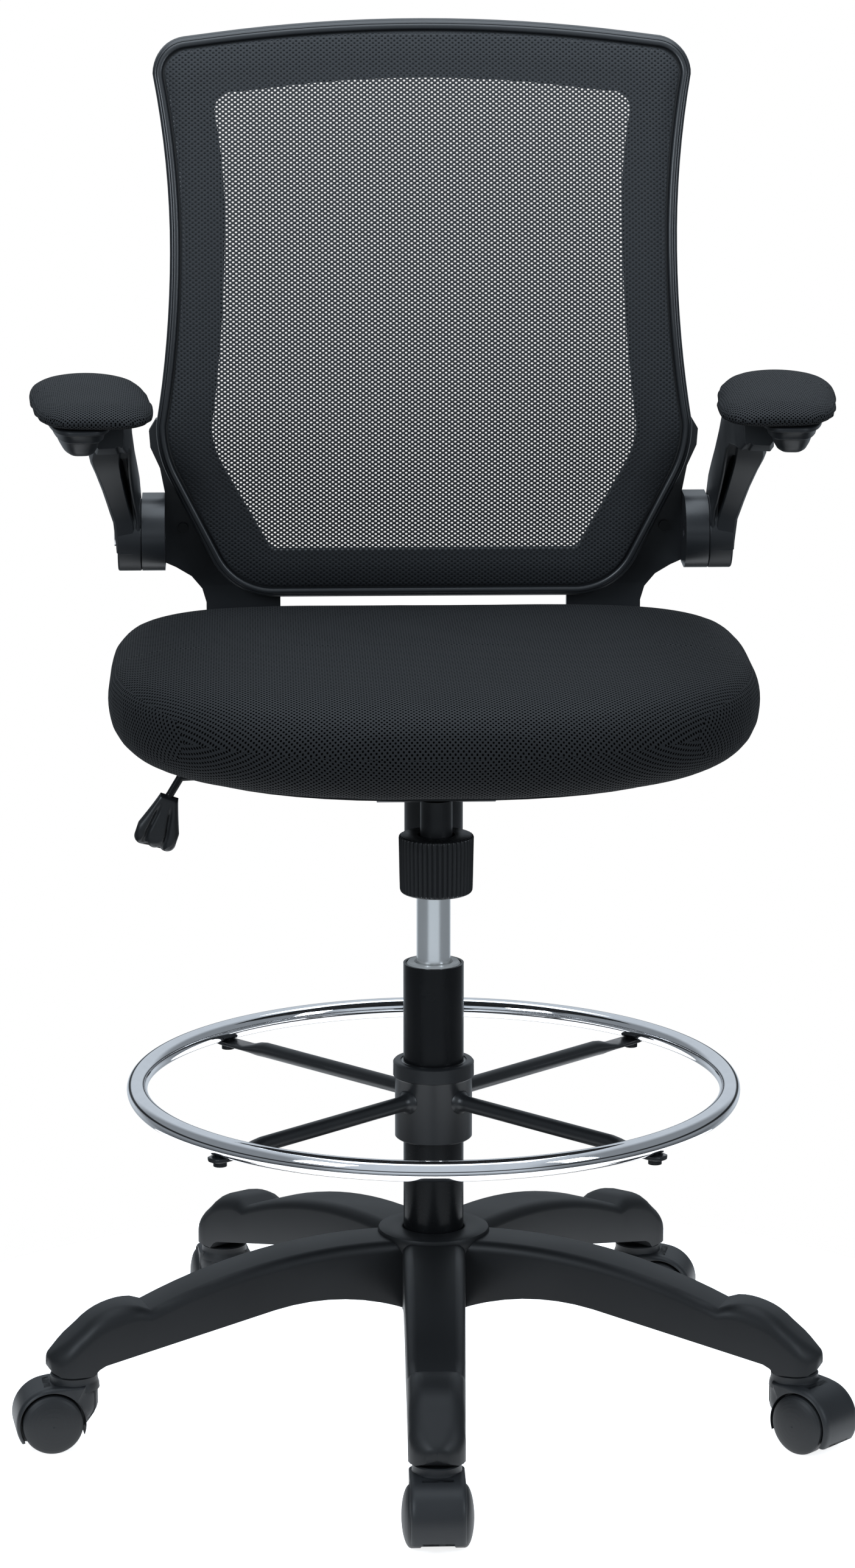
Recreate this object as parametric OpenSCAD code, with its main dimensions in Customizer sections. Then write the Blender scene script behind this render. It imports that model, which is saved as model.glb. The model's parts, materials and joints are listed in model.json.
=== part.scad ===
// Drafting chair: five-star base on twin-wheel casters, gas column with a sliding foot ring,
// tilting seat, mesh back and flip-up arms.
// The column axis is Z, the floor is z = 0, the seat faces -Y and the sitter's right hand is -X.

/* [Column] */
// Outside diameter of the column's outer tube
column_d = 50; // [49:0.5:51]
// Height of the outer tube's rim
column_top = 384; // [378:1:390]
// Outside diameter of the gas cylinder
cylinder_d = 28; // [28:0.5:29]

/* [Base] */
// Distance from the column axis to a caster stem
stem_r = 311; // [300:1:320]
// Height of the hub's top face
hub_top = 158; // [156:1:160]
// Width of a base arm where it leaves the hub
arm_root_w = 53; // [50:1:56]
// Turn of the base about the column, against the seat, in degrees
base_turn = -1.5; // [-10:0.5:10]

/* [Casters] */
// Wheel diameter
wheel_d = 50; // [49:0.5:50]
// Distance from the stem axis to the wheel axle
caster_trail = 20; // [18:0.5:21]
// Radius of the hood over the wheels
hood_r = 30; // [29:0.5:31]

/* [Foot ring] */
// Radius of the ring's centre line
ring_r = 245.5; // [235:0.5:250]
// Diameter of the ring's tube
ring_tube_d = 17; // [15:0.5:19]
// Height of the ring
ring_z = 279; // [274:1:290]
// Turn of the ring about the column, in degrees
ring_turn = -0.9; // [-10:0.1:10]

/* [Seat] */
// Width of the cushion
seat_w = 536; // [500:1:540]
// Depth of the cushion
seat_d = 484; // [470:1:490]
// Height of the cushion's underside
seat_z = 576; // [575:0.5:578]
// Thickness of the cushion at its crown
seat_t = 74; // [60:1:80]

/* [Back] */
// Height of the back's lowest edge
back_bottom = 647; // [646:1:652]
// Height of the back's top edge
back_top = 1132.5; // [1100:0.5:1150]
// Half width at the waist
back_waist = 214.5; // [212:0.5:217]
// Depth of the back frame
frame_depth = 20; // [18:1:21]

/* [Arms] */
// Height of the arm pivot
pivot_z = 705.5; // [704:0.5:707]
// Distance of the arm pivot behind the column axis
pivot_y = 215; // [213:1:217]
// Diameter of the arm knuckle
knuckle_d = 62; // [60:1:64]
// Height of the arm pad's top
pad_top = 866; // [862:1:870]
// Sideways distance of the pad's middle from the chair's middle
pad_x = 277; // [276:1:280]
// Width of an arm pad
pad_w = 100; // [92:1:102]
// Length of an arm pad
pad_l = 240; // [230:1:250]

/* [Hidden] */
$fn = 64;
run_gap = 0.05;
caster_names = ["front", "right", "rear_right", "rear_left", "left"];
caster_pieces = ["hood", "stem", "axle", "wheel_a", "wheel_b"];

nylon = "#232427";
steel = "#8d9094";
chrome = "#d5d8dc";
fabric = "#1c1d22";
mesh_grey = "#4a4c50";

function arc(cx, cy, r, from, to, n = 12) =
    [for (i = [0:n]) let (a = from + (to - from) * i / n) [cx + r * cos(a), cy + r * sin(a)]];
function ellipse_arc(cx, cy, rx, ry, from, to, n = 12) =
    [for (i = [0:n]) let (a = from + (to - from) * i / n) [cx + rx * cos(a), cy + ry * sin(a)]];

module ring(outer, inner, height) {
    difference() {
        cylinder(r = outer, h = height);
        translate([0, 0, -1]) cylinder(r = inner, h = height + 2);
    }
}

// Lays a drawing in (y, z) on edge and gives it a width along X, centred
module across(width) {
    rotate([90, 0, 90]) translate([0, 0, -width / 2]) linear_extrude(width) children();
}

// Lays a drawing in (x, z) on edge and gives it a depth along +Y from y = from
module through(from, depth) {
    translate([0, from + depth, 0]) rotate([90, 0, 0]) linear_extrude(depth) children();
}

// ---------------------------------------------------------------- star base
hub_bottom = 95;
arm_top_radius = 573;
arm_top_cx = 60;
arm_top_z = 154;
arch_cx = 105;
arch_top = 110;
arch_r = 190;
boss_cx = stem_r - 43;
boss_cz = 72;
boss_r = 52;
nose_r = 10.5;
nose_cx = stem_r + 13;
nose_cz = 74.5;
boss_bottom = nose_cz - nose_r;
boss_plan_r = 23;
arm_tip_w = 45;
stem_socket_top = 93.5;
stem_d = 11;
base_wall = 3.5;

// Side view of an arm as (distance from the column, height), shrunk by inset for the hollow inside
function arm_side(inset) = concat(
    arc(arm_top_cx, arm_top_z - arm_top_radius, arm_top_radius - inset, 93, 70.6, 14),
    arc(boss_cx, boss_cz, boss_r - inset, 100, 45, 10),
    arc(nose_cx, nose_cz, nose_r - inset, 45, -90, 8)
);
arm_underside = concat(
    [[stem_r - 18, boss_bottom], [stem_r - 18, 71.4]],
    arc(arch_cx, arch_top - arch_r, arch_r, 76.8, 111.5, 12),
    [[30, hub_bottom]]
);

module arm_plan(inset) {
    polygon([
        [0, inset - arm_root_w / 2], [stem_r, inset - arm_tip_w / 2],
        [stem_r, arm_tip_w / 2 - inset], [0, arm_root_w / 2 - inset]
    ]);
    translate([stem_r, 0]) circle(r = boss_plan_r - inset);
}

module base_arm() {
    intersection() {
        rotate([90, 0, 0]) translate([0, 0, -40]) linear_extrude(80)
            polygon(concat(arm_side(0), arm_underside));
        linear_extrude(200) arm_plan(0);
    }
}

// The hollow under an arm, split by one long rib and three cross ribs
module arm_hollow() {
    difference() {
        intersection() {
            rotate([90, 0, 0]) translate([0, 0, -40]) linear_extrude(80)
                polygon(concat(arm_side(base_wall), [[stem_r, 40], [0, 40]]));
            linear_extrude(200) arm_plan(base_wall);
            translate([46, -40, 0]) cube([stem_r - 18 - 46 - 6, 80, 200]);
        }
        translate([0, -1.25, 0]) cube([stem_r, 2.5, 200]);
        for (x = [100, 160, 220]) translate([x, -40, 0]) cube([2.5, 80, 200]);
    }
}

module star_base() {
    color(nylon) difference() {
        union() {
            for (k = [0:4]) rotate([0, 0, base_turn - 90 + 72 * k]) base_arm();
            rotate_extrude() polygon([
                [0, hub_bottom], [34, hub_bottom], [36, 112], [46.5, 140],
                [46.5, hub_top - 3], [44, hub_top], [0, hub_top]
            ]);
        }
        for (k = [0:4]) rotate([0, 0, base_turn - 90 + 72 * k]) {
            arm_hollow();
            translate([stem_r, 0, 40]) cylinder(r = stem_d / 2, h = stem_socket_top - 40);
        }
        translate([0, 0, 40]) cylinder(r = column_d / 2, h = 200);
    }
}

// ---------------------------------------------------------------- column
tube_bottom = 92;
tube_wall = 2;
tube_floor = 3;
tube_bore_r = column_d / 2 - tube_wall;
bush_bottom = column_top - 54;
rod_r = 4;
race_z = tube_bottom + tube_floor;
race_h = 1.2;
ball_r = 1.25;
bearing_h = 2 * race_h + 2 * ball_r + 0.1;
cylinder_bottom = 168;
cylinder_top = 530;
cylinder_wall = 2;
valve_r = 4;
valve_top = 545.5;
piston_z = 342;

module column_tube() {
    color(nylon) difference() {
        translate([0, 0, tube_bottom]) cylinder(r = column_d / 2, h = column_top - tube_bottom);
        translate([0, 0, tube_bottom + tube_floor]) cylinder(r = tube_bore_r, h = column_top);
        translate([0, 0, tube_bottom - 1]) cylinder(r = rod_r + 1, h = 10);
    }
}

module guide_bush() {
    color("#c9c9c6") rotate_extrude() polygon([
        [cylinder_d / 2 + run_gap, bush_bottom], [tube_bore_r, bush_bottom],
        [tube_bore_r, column_top - 1.5], [tube_bore_r - 2, column_top + 1],
        [cylinder_d / 2 + 2, column_top + 1], [cylinder_d / 2 + run_gap, column_top - 1]
    ]);
}

module thrust_bearing() {
    color(steel) {
        translate([0, 0, race_z]) ring(15, 6.5, race_h);
        translate([0, 0, race_z + race_h + 2 * ball_r + 0.1]) ring(15, 6.5, race_h);
        for (a = [0:45:315]) rotate([0, 0, a])
            translate([11, 0, race_z + race_h + ball_r + 0.05]) sphere(r = ball_r, $fn = 24);
    }
}

module piston_rod() {
    color(steel) {
        translate([0, 0, tube_bottom - 4]) cylinder(r = rod_r, h = piston_z + 10 - tube_bottom + 4);
        translate([0, 0, tube_bottom - 2]) cylinder(r = 7.5, h = 1.5);
        translate([0, 0, race_z + bearing_h + 0.1]) cylinder(r = 14, h = 4);
        translate([0, 0, piston_z]) cylinder(r = cylinder_d / 2 - cylinder_wall - run_gap, h = 12);
    }
}

module gas_cylinder() {
    color(chrome) difference() {
        translate([0, 0, cylinder_bottom]) cylinder(r = cylinder_d / 2, h = cylinder_top - cylinder_bottom);
        translate([0, 0, cylinder_bottom + 15])
            cylinder(r = cylinder_d / 2 - cylinder_wall, h = cylinder_top - cylinder_bottom - 33);
        translate([0, 0, cylinder_bottom - 1]) cylinder(r = rod_r + run_gap, h = 30);
        translate([0, 0, cylinder_top - 30]) cylinder(r = valve_r + run_gap, h = 40);
    }
}

module valve_pin() {
    color(steel) translate([0, 0, cylinder_top - 25])
        cylinder(r = valve_r, h = valve_top - cylinder_top + 25);
}

// ---------------------------------------------------------------- casters
// Drawn with the stem on Z and the wheels trailing towards +X, then turned into place
axle_r = 4;
web_w = 25;
hood_w = 44;
neck_r = 19.5;
neck_top = 62.5;
hood_front_x = hood_w / 2 - neck_r;
wheel_r = wheel_d / 2;
wheel_inner = web_w / 2 + 0.4;
tread_edge = 23;
wheel_outer = 28.5;
wheel_pocket_r = wheel_r + 1.3;
caster_trail_angle = [1.5, -24, -64, -29, -8.5];

module caster_place(k) {
    rotate([0, 0, base_turn - 90 + 72 * k]) translate([stem_r, 0, 0])
        rotate([0, 0, caster_trail_angle[k]]) children();
}

// Side view of the hood as (trail, height)
hood_side = concat(
    [[-neck_r, neck_top], [-neck_r, 36]],
    [[-15, 27], [-9, 20], [4, 12], [20, 9]],
    arc(caster_trail, wheel_r, hood_r, -32, 78, 16),
    [[neck_r, neck_top - 7], [neck_r, neck_top]]
);

module caster_hood() {
    color(nylon) difference() {
        intersection() {
            translate([0, hood_w / 2, 0]) rotate([90, 0, 0]) linear_extrude(hood_w) polygon(hood_side);
            union() {
                translate([hood_front_x, 0, 0]) cylinder(d = hood_w, h = neck_top - 8);
                translate([hood_front_x, -hood_w / 2, 0]) cube([80, hood_w, neck_top - 8]);
                cylinder(r = neck_r, h = neck_top);
            }
        }
        for (side = [-1, 1]) translate([caster_trail, side * 40, wheel_r]) rotate([90, 0, 0])
            cylinder(r = wheel_pocket_r, h = 80 - web_w, center = true);
        translate([caster_trail, 0, wheel_r]) rotate([90, 0, 0])
            cylinder(r = axle_r, h = 60, center = true);
        translate([0, 0, 44]) cylinder(r = stem_d / 2 + run_gap, h = 40);
    }
}

module caster_stem() {
    color(steel) translate([0, 0, 44.5]) cylinder(r = stem_d / 2, h = stem_socket_top - 44.5 - 0.5);
}

module caster_axle() {
    color(steel) translate([caster_trail, 0, wheel_r]) rotate([90, 0, 0])
        cylinder(r = axle_r, h = 48, center = true);
}

module caster_wheel(side) {
    color(nylon) translate([caster_trail, 0, wheel_r]) rotate([-90 * side, 0, 0]) difference() {
        rotate_extrude() polygon(concat(
            [[0, wheel_inner], [wheel_r - 1, wheel_inner], [wheel_r, wheel_inner + 1]],
            [[wheel_r, tread_edge - 2]],
            ellipse_arc(0, tread_edge - 2, wheel_r, wheel_outer - tread_edge + 2, 12, 90, 8)
        ));
        cylinder(r = axle_r + run_gap, h = 24.5);
    }
}

module caster_piece(k, piece) {
    caster_place(k) {
        if (piece == "hood") caster_hood();
        if (piece == "stem") caster_stem();
        if (piece == "axle") caster_axle();
        if (piece == "wheel_a") caster_wheel(1);
        if (piece == "wheel_b") caster_wheel(-1);
    }
}

// ---------------------------------------------------------------- foot ring
ring_hub_r = 32;
ring_hub_bottom = 235;
ring_hub_top = 301;
ring_bush_r = column_d / 2 + 2.4;
spoke_r = 6.5;
spoke_z = 270;
tab_t = 4;
tab_z = ring_z - ring_tube_d / 2 - tab_t - 0.05;
ring_bolt_r = 3;
clamp_z = 252;

module ring_bush() {
    color("#2c2d30") translate([0, 0, ring_hub_bottom + 1])
        ring(ring_bush_r, column_d / 2 + run_gap, ring_hub_top - ring_hub_bottom - 2);
}

module ring_hub() {
    color(nylon) difference() {
        union() {
            translate([0, 0, ring_hub_bottom]) cylinder(r = ring_hub_r, h = ring_hub_top - ring_hub_bottom);
            translate([0, 0, ring_hub_top - 13]) cylinder(r = ring_hub_r + 1.5, h = 13);
            for (k = [0:3]) rotate([0, 0, ring_turn + 45 + 90 * k]) {
                translate([ring_hub_r - 3, 0, spoke_z]) rotate([0, 90, 0])
                    cylinder(r = spoke_r, h = ring_r - ring_hub_r - 20, $fn = 32);
                translate([ring_r - 34, -9, tab_z]) cube([44, 18, tab_t]);
            }
            translate([0, 0, clamp_z]) rotate([-90, 0, 0]) cylinder(r = 9, h = ring_hub_r + 7);
        }
        translate([0, 0, ring_hub_bottom - 1]) cylinder(r = ring_bush_r + run_gap, h = 100);
        translate([0, 0, clamp_z]) rotate([-90, 0, 0]) cylinder(r = 4 + run_gap, h = 60);
        for (k = [0:3]) rotate([0, 0, ring_turn + 45 + 90 * k])
            translate([ring_r, 0, tab_z - 1]) cylinder(r = ring_bolt_r, h = tab_t + 2);
    }
}

module foot_ring() {
    color(chrome) difference() {
        translate([0, 0, ring_z]) rotate_extrude($fn = 128)
            translate([ring_r, 0]) circle(d = ring_tube_d, $fn = 48);
        for (k = [0:3]) rotate([0, 0, ring_turn + 45 + 90 * k])
            translate([ring_r, 0, ring_z - 10]) cylinder(r = ring_bolt_r, h = 8);
    }
}

module ring_bolts() {
    color(steel) for (k = [0:3]) rotate([0, 0, ring_turn + 45 + 90 * k]) translate([ring_r, 0, 0]) {
        translate([0, 0, tab_z - 4]) cylinder(r = 5.5, h = 4);
        translate([0, 0, tab_z - 2]) cylinder(r = ring_bolt_r, h = tab_t + 7);
    }
}

module ring_knob() {
    color(nylon) translate([0, 0, clamp_z]) rotate([-90, 0, 0]) {
        translate([0, 0, ring_bush_r + 0.5]) cylinder(r = 4, h = 24);
        translate([0, 0, ring_hub_r + 8]) difference() {
            cylinder(r = 17, h = 18);
            for (a = [0:60:300]) rotate([0, 0, a]) translate([21, 0, -1]) cylinder(r = 7, h = 20, $fn = 32);
        }
    }
}

// ---------------------------------------------------------------- tilt mechanism
housing_w = 96;
housing_wall = 3;
socket_r = 24;
socket_bottom = 466;
housing_floor = 533;
pivot_pin_y = -34;
pivot_pin_z = 552;
pivot_pin_r = 5;
tension_y = -62;
plate_z = 563.5;
plate_t = 3.5;
spring_tube_bottom = 496;
spring_tube_r = 13;
bolt_r = 4;
knob_r = 30.5;
knob_bottom = 459;
knob_top = 507;
knob_floor = 475;
spring_r = 8.6;
spring_wire_r = 1.5;
spring_turns = 9;
spring_low = knob_floor + spring_wire_r + 0.3;
spring_high = housing_floor - spring_wire_r - 0.3;
lever_z = 548;
lever_r = 3.25;

module tilt_housing() {
    color(nylon) difference() {
        union() {
            across(housing_w) polygon([
                [48, housing_floor], [-58, housing_floor], [-84, 541], [-84, 550], [-50, 561],
                [-24, 561], [0, 550], [48, 545]
            ]);
            translate([0, 0, socket_bottom]) cylinder(r = socket_r, h = housing_floor - socket_bottom + 1);
            translate([0, tension_y, spring_tube_bottom])
                cylinder(r = spring_tube_r, h = housing_floor - spring_tube_bottom + 3);
        }
        across(housing_w - 2 * housing_wall) polygon([
            [44, housing_floor + 3.5], [-57, housing_floor + 3.5], [-80, 544.5], [-80, 600], [44, 600]
        ]);
        translate([0, 0, socket_bottom - 1]) cylinder(r = cylinder_d / 2, h = 100);
        translate([0, tension_y, spring_tube_bottom - 1])
            cylinder(r = spring_tube_r - 1.8, h = housing_floor - spring_tube_bottom + 1);
        translate([0, tension_y, housing_floor - 2]) cylinder(r = bolt_r + 0.4, h = 30);
        translate([-60, pivot_pin_y, pivot_pin_z]) rotate([0, 90, 0]) cylinder(r = pivot_pin_r, h = 120);
        // slot that the rocker swings in
        translate([-60, -7, lever_z - 6.5]) cube([20, 14, 40]);
    }
}

module tilt_pivot() {
    color(steel) translate([-52, pivot_pin_y, pivot_pin_z]) rotate([0, 90, 0]) {
        cylinder(r = pivot_pin_r, h = 104);
        cylinder(r = pivot_pin_r + 2.5, h = 3);
        translate([0, 0, 101]) cylinder(r = pivot_pin_r + 2.5, h = 3);
    }
}

// A closed coil swept as one skin
function coil_centre(t) = [spring_r * cos(360 * spring_turns * t), spring_r * sin(360 * spring_turns * t),
    spring_low + (spring_high - spring_low) * t];
coil_steps = spring_turns * 12;
coil_sides = 6;
function coil_point(i, j) = let (
        t = i / coil_steps, turn = 360 * spring_turns * t, a = 360 * j / coil_sides, c = coil_centre(t),
        out = spring_wire_r * cos(a)
    ) [c[0] + out * cos(turn), c[1] + out * sin(turn), c[2] + spring_wire_r * sin(a)];

module tension_spring() {
    points = [for (i = [0:coil_steps]) for (j = [0:coil_sides - 1]) coil_point(i, j)];
    sides = [for (i = [0:coil_steps - 1]) for (j = [0:coil_sides - 1]) let (k = (j + 1) % coil_sides) each [
        [i * coil_sides + j, (i + 1) * coil_sides + j, (i + 1) * coil_sides + k],
        [i * coil_sides + j, (i + 1) * coil_sides + k, i * coil_sides + k]
    ]];
    ends = [[for (j = [0:coil_sides - 1]) j],
        [for (j = [coil_sides - 1:-1:0]) coil_steps * coil_sides + j]];
    color(steel) translate([0, tension_y, 0]) polyhedron(points = points, faces = concat(sides, ends));
}

module tension_knob() {
    color(nylon) translate([0, tension_y, 0]) {
        rotate_extrude() polygon(concat(
            [[0, knob_bottom]],
            arc(knob_r - 4, knob_bottom + 4, 4, -90, 0, 5),
            [[knob_r, knob_top - 1], [knob_r - 1, knob_top]],
            [[14.5, knob_top], [14.5, knob_floor], [0, knob_floor]]
        ));
        translate([0, 0, knob_floor - 1]) cylinder(r = bolt_r, h = 80);
    }
}

module lever_rocker() {
    color(nylon) difference() {
        union() {
            translate([-64, -5, lever_z - 4.8]) cube([44, 10, 9.6]);
            translate([-22, -5, lever_z - 2]) cube([30, 10, 4.5]);
        }
        translate([-70, 0, lever_z]) rotate([0, 90, 0]) cylinder(r = lever_r + run_gap, h = 46);
    }
}

handle_lean = 18.5;
handle_top = [-216, 0, 527];
rod_points = [
    [-36, 0, lever_z], [-76, 0, lever_z], [-207, 0, 542], handle_top,
    handle_top - 26 * [sin(handle_lean), 0, cos(handle_lean)]
];
// A round bar between two points of the plane y = 0
module rod_between(a, b) {
    d = b - a;
    translate(a) rotate([0, atan2(d[0], d[2]), 0]) cylinder(r = lever_r, h = norm(d));
}
module lever_rod() {
    color(steel) {
        for (i = [0:len(rod_points) - 2]) rod_between(rod_points[i], rod_points[i + 1]);
        for (i = [1:len(rod_points) - 2]) translate(rod_points[i]) sphere(r = lever_r + 0.1);
    }
}

// A paddle with a three-lobed edge, which leans out from straight down
handle_l = 46;
handle_t = 10;
lobe_r = 7;
lobe_gap = 10.5;
lobe_y = lobe_r - handle_l;
// Half the angle between the two notches of the middle lobe
lobe_turn = asin(lobe_gap / 2 / lobe_r) - 1;
module lever_handle() {
    color(nylon) translate(handle_top) rotate([0, handle_lean, 0]) difference() {
        translate([0, handle_t / 2, 0]) rotate([90, 0, 0]) linear_extrude(handle_t) {
            polygon(concat(
                [[-7, -1], [7, -1], [10, -12], [lobe_gap + lobe_r, lobe_y + 10]],
                arc(lobe_gap, lobe_y, lobe_r, 0, -90 - lobe_turn, 8),
                arc(0, lobe_y, lobe_r, lobe_turn - 90, -90 - lobe_turn, 6),
                arc(-lobe_gap, lobe_y, lobe_r, lobe_turn - 90, -180, 8),
                [[-lobe_gap - lobe_r, lobe_y + 10], [-10, -12]]
            ));
        }
        translate([0, 0, -26]) cylinder(r = lever_r, h = 30);
    }
}

// ---------------------------------------------------------------- seat
pan_gap = 0.3;
pan_bottom = plate_z + plate_t + 0.3;
pan_inset = 46;

// Plan of the seat: an arched front and a squarer rear, pulled in by inset
function seat_plan(inset, n = 14) = let (
        w = seat_w / 2 - inset, d = seat_d / 2 - inset,
        quarter = [for (i = [0:n]) 90 * i / n],
        rear = [for (a = quarter) [w * pow(cos(a), 0.42), d * pow(sin(a), 0.42)]],
        front = [for (a = quarter) [w * pow(cos(a), 0.8), -d * pow(sin(a), 0.95)]]
    ) concat(rear, [for (i = [n - 1:-1:0]) [-rear[i][0], rear[i][1]]],
        [for (i = [1:n]) [-front[i][0], front[i][1]]], [for (i = [n - 1:-1:1]) front[i]]);
seat_cy = -8;

module seat_slice(z, inset) {
    translate([0, seat_cy, z]) linear_extrude(0.1) polygon(seat_plan(inset));
}

module seat_cushion() {
    color(fabric) hull() {
        seat_slice(seat_z, 20);
        seat_slice(seat_z + 14, 7);
        seat_slice(seat_z + 0.64 * seat_t, 0);
        seat_slice(seat_z + 0.83 * seat_t, 8);
        seat_slice(seat_z + 0.95 * seat_t, 32);
        seat_slice(seat_z + seat_t - 0.1, 90);
    }
}

module seat_pan() {
    color(nylon) difference() {
        translate([0, seat_cy, pan_bottom]) linear_extrude(seat_z - pan_gap - pan_bottom)
            polygon(seat_plan(pan_inset));
        for (p = pan_screw_places) translate([p[0], p[1], pan_bottom - 1]) cylinder(r = screw_r, h = 20);
    }
}

plate_half_w = 95;
plate_front = -84;
plate_rear = 112;
screw_r = 3;
plate_screw_places = [for (x = [-80, 80]) for (y = [-68, 96]) [x, y]];
bracket_screw_y = [112, 156];
bracket_screw_places = [for (x = [-155, 155]) for (y = bracket_screw_y) [x, y]];
pan_screw_places = concat(plate_screw_places, bracket_screw_places);

module tilt_plate() {
    lug_x = housing_w / 2 - housing_wall - 4.3;
    color(nylon) difference() {
        union() {
            translate([-plate_half_w, plate_front, plate_z])
                cube([2 * plate_half_w, plate_rear - plate_front, plate_t]);
            for (side = [-1, 1]) translate([side * lug_x, pivot_pin_y, 0]) {
                translate([-1.75, -9, pivot_pin_z]) cube([3.5, 18, plate_z - pivot_pin_z + 1]);
                translate([-1.75, 0, pivot_pin_z]) rotate([0, 90, 0]) cylinder(r = 9, h = 3.5);
            }
        }
        translate([-60, pivot_pin_y, pivot_pin_z]) rotate([0, 90, 0])
            cylinder(r = pivot_pin_r + run_gap, h = 120);
        for (p = plate_screw_places) translate([p[0], p[1], plate_z - 1]) cylinder(r = screw_r, h = 10);
    }
}

// ---------------------------------------------------------------- back
lumbar_z = 800;
lumbar_y = 218;
waist_z = 950;
flare_up = 0.00072;
flare_down = 0.00056;
hip_z = 796;
hip_r = 100;
taper = 26;
corner_r = 60;
corner_x = 128;
top_corner_r = 30;
top_sag = 14;

// Distance of the back's front face behind the column axis at a height
function back_y(z) = lumbar_y + (z > lumbar_z ? 0.0007 : 0.0004) * pow(z - lumbar_z, 2);
function half_width(z) = back_waist + (z > waist_z ? flare_up : flare_down) * pow(z - waist_z, 2);

// Right half of the outline, from the middle of the bottom edge to the middle of the top edge
function back_half(inset) = let (
        shoulder = back_top - top_sag - top_corner_r,
        side = half_width(shoulder) - inset,
        top_x = side - top_corner_r + inset / 2
    ) concat(
        arc(corner_x, back_bottom + corner_r, corner_r - inset, -86, -taper, 6),
        arc(half_width(hip_z) - hip_r, hip_z, hip_r - inset, -taper, 0, 5),
        [for (i = [1:8]) let (z = hip_z + (shoulder - hip_z) * i / 8) [half_width(z) - inset, z]],
        arc(side - top_corner_r, shoulder - inset / 2, top_corner_r, 15, 75, 4),
        [for (i = [1:5]) let (x = top_x * (1 - i / 6)) [x, back_top - inset - top_sag * pow(x / top_x, 2)]],
        [[0, back_top - inset]]
    );
function back_outline(inset) = let (half = back_half(inset))
    concat(half, [for (i = [len(half) - 2:-1:0]) [-half[i][0], half[i][1]]]);

// Right half of the mesh window: narrowest at window_waist_z, arched along its top
window_bottom = back_bottom + 42;
window_top = back_top - 47.5;
window_waist_z = 974;
window_corner_r = 16;
window_arch = 15;
function window_half_width(z) = back_waist - 46.5
    + (z > window_waist_z ? 0.0012 : 0.00039) * pow(z - window_waist_z, 2);
window_shoulder = window_top - window_arch - window_corner_r + 4;
window_half = concat(
    arc(126, window_bottom + 8, 8, -90, -28, 3),
    arc(window_half_width(hip_z) - 70, hip_z, 70, -28, 0, 5),
    [for (i = [1:7]) let (z = hip_z + (window_shoulder - hip_z) * i / 7) [window_half_width(z), z]],
    arc(window_half_width(window_shoulder) - window_corner_r, window_shoulder, window_corner_r, 20, 75, 3),
    [for (i = [4:-1:0]) let (x = 36 * i) [x, window_top - window_arch * pow(x / 178, 2)]]
);
window_outline = concat(window_half,
    [for (i = [len(window_half) - 2:-1:0]) [-window_half[i][0], window_half[i][1]]]);

// A curved slab that follows the back, from depth near to depth far behind its front face
module back_slab(near, far, low, high, width, steps = 16) {
    z = [for (i = [0:steps]) low + (high - low) * i / steps];
    across(width) polygon(concat(
        [for (i = [0:steps]) [back_y(z[i]) + near, z[i]]],
        [for (i = [steps:-1:0]) [back_y(z[i]) + far, z[i]]]
    ));
}

module back_frame() {
    color(nylon) intersection() {
        back_slab(2.2, frame_depth, back_bottom - 5, back_top + 5, 500);
        through(150, 250) difference() {
            polygon(back_outline(0));
            polygon(window_outline);
        }
    }
}

mesh_t = 1.9;
module back_mesh() {
    color(mesh_grey) intersection() {
        back_slab(0, mesh_t, back_bottom, back_top, 500);
        through(150, 250) polygon(back_outline(11));
    }
}

// Front view of a bracket: a foot under the seat, a waist in the gap, a wing behind the back
bracket_front = [
    [123, 555], [186.5, 555], [186.5, 640], [190, 652], [199, 663], [212, 671], [220.7, 675], [240.2, 675],
    [240.2, 735], [220.7, 735], [225, 758], [233, 776], [234, 790], [228, 800],
    [190, 800], [184, 775], [165, 735], [140, 688], [123, 655]
];
bracket_gap = 0.8;
bracket_t = 11;
bracket_foot_z = pan_bottom - pan_gap;
bracket_back = [for (i = [0:8]) let (z = 655 + 150 * i / 8) [back_y(z) + frame_depth + bracket_gap, z]];
bracket_rear_y = back_y(655) + frame_depth + bracket_gap + bracket_t;
bracket_side = concat(
    [[95, bracket_foot_z], [95, bracket_foot_z - 9]],
    arc(bracket_rear_y - 42, bracket_foot_z + 33, 42, -90, 0, 8),
    [for (p = bracket_back) [p[0] + bracket_t, p[1]]],
    [for (i = [8:-1:0]) bracket_back[i]],
    arc(bracket_rear_y - 42, bracket_foot_z + 33, 33, 0, -90, 8)
);
knuckle_inner = 220.7;
knuckle_outer = 240.2;
arm_pivot_r = 6;
pivot_head_r = 10;

module back_bracket(side) {
    color(nylon) difference() {
        union() {
            intersection() {
                across(600) polygon(bracket_side);
                through(50, 300) polygon([for (p = bracket_front) [p[0] * side, p[1]]]);
            }
            translate([side > 0 ? knuckle_inner : -knuckle_outer, pivot_y, pivot_z]) rotate([0, 90, 0])
                cylinder(d = knuckle_d, h = knuckle_outer - knuckle_inner);
            translate([side > 0 ? knuckle_inner : -knuckle_outer, pivot_y, pivot_z - knuckle_d / 2])
                cube([knuckle_outer - knuckle_inner, 28, knuckle_d]);
        }
        translate([side * 190, pivot_y, pivot_z]) rotate([0, side * 90, 0])
            cylinder(r = arm_pivot_r, h = 80);
        for (y = bracket_screw_y) translate([side * 155, y, 540]) cylinder(r = screw_r, h = 40);
        for (p = back_screw_places) if (p[0] * side > 0) back_screw_hole(p);
        back_screw_hole([side * side_screw_x, side_screw_z]);
    }
}

back_screw_places = [for (side = [-1, 1]) for (p = [[176, 722], [196, 772]]) [side * p[0], p[1]]];
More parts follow.
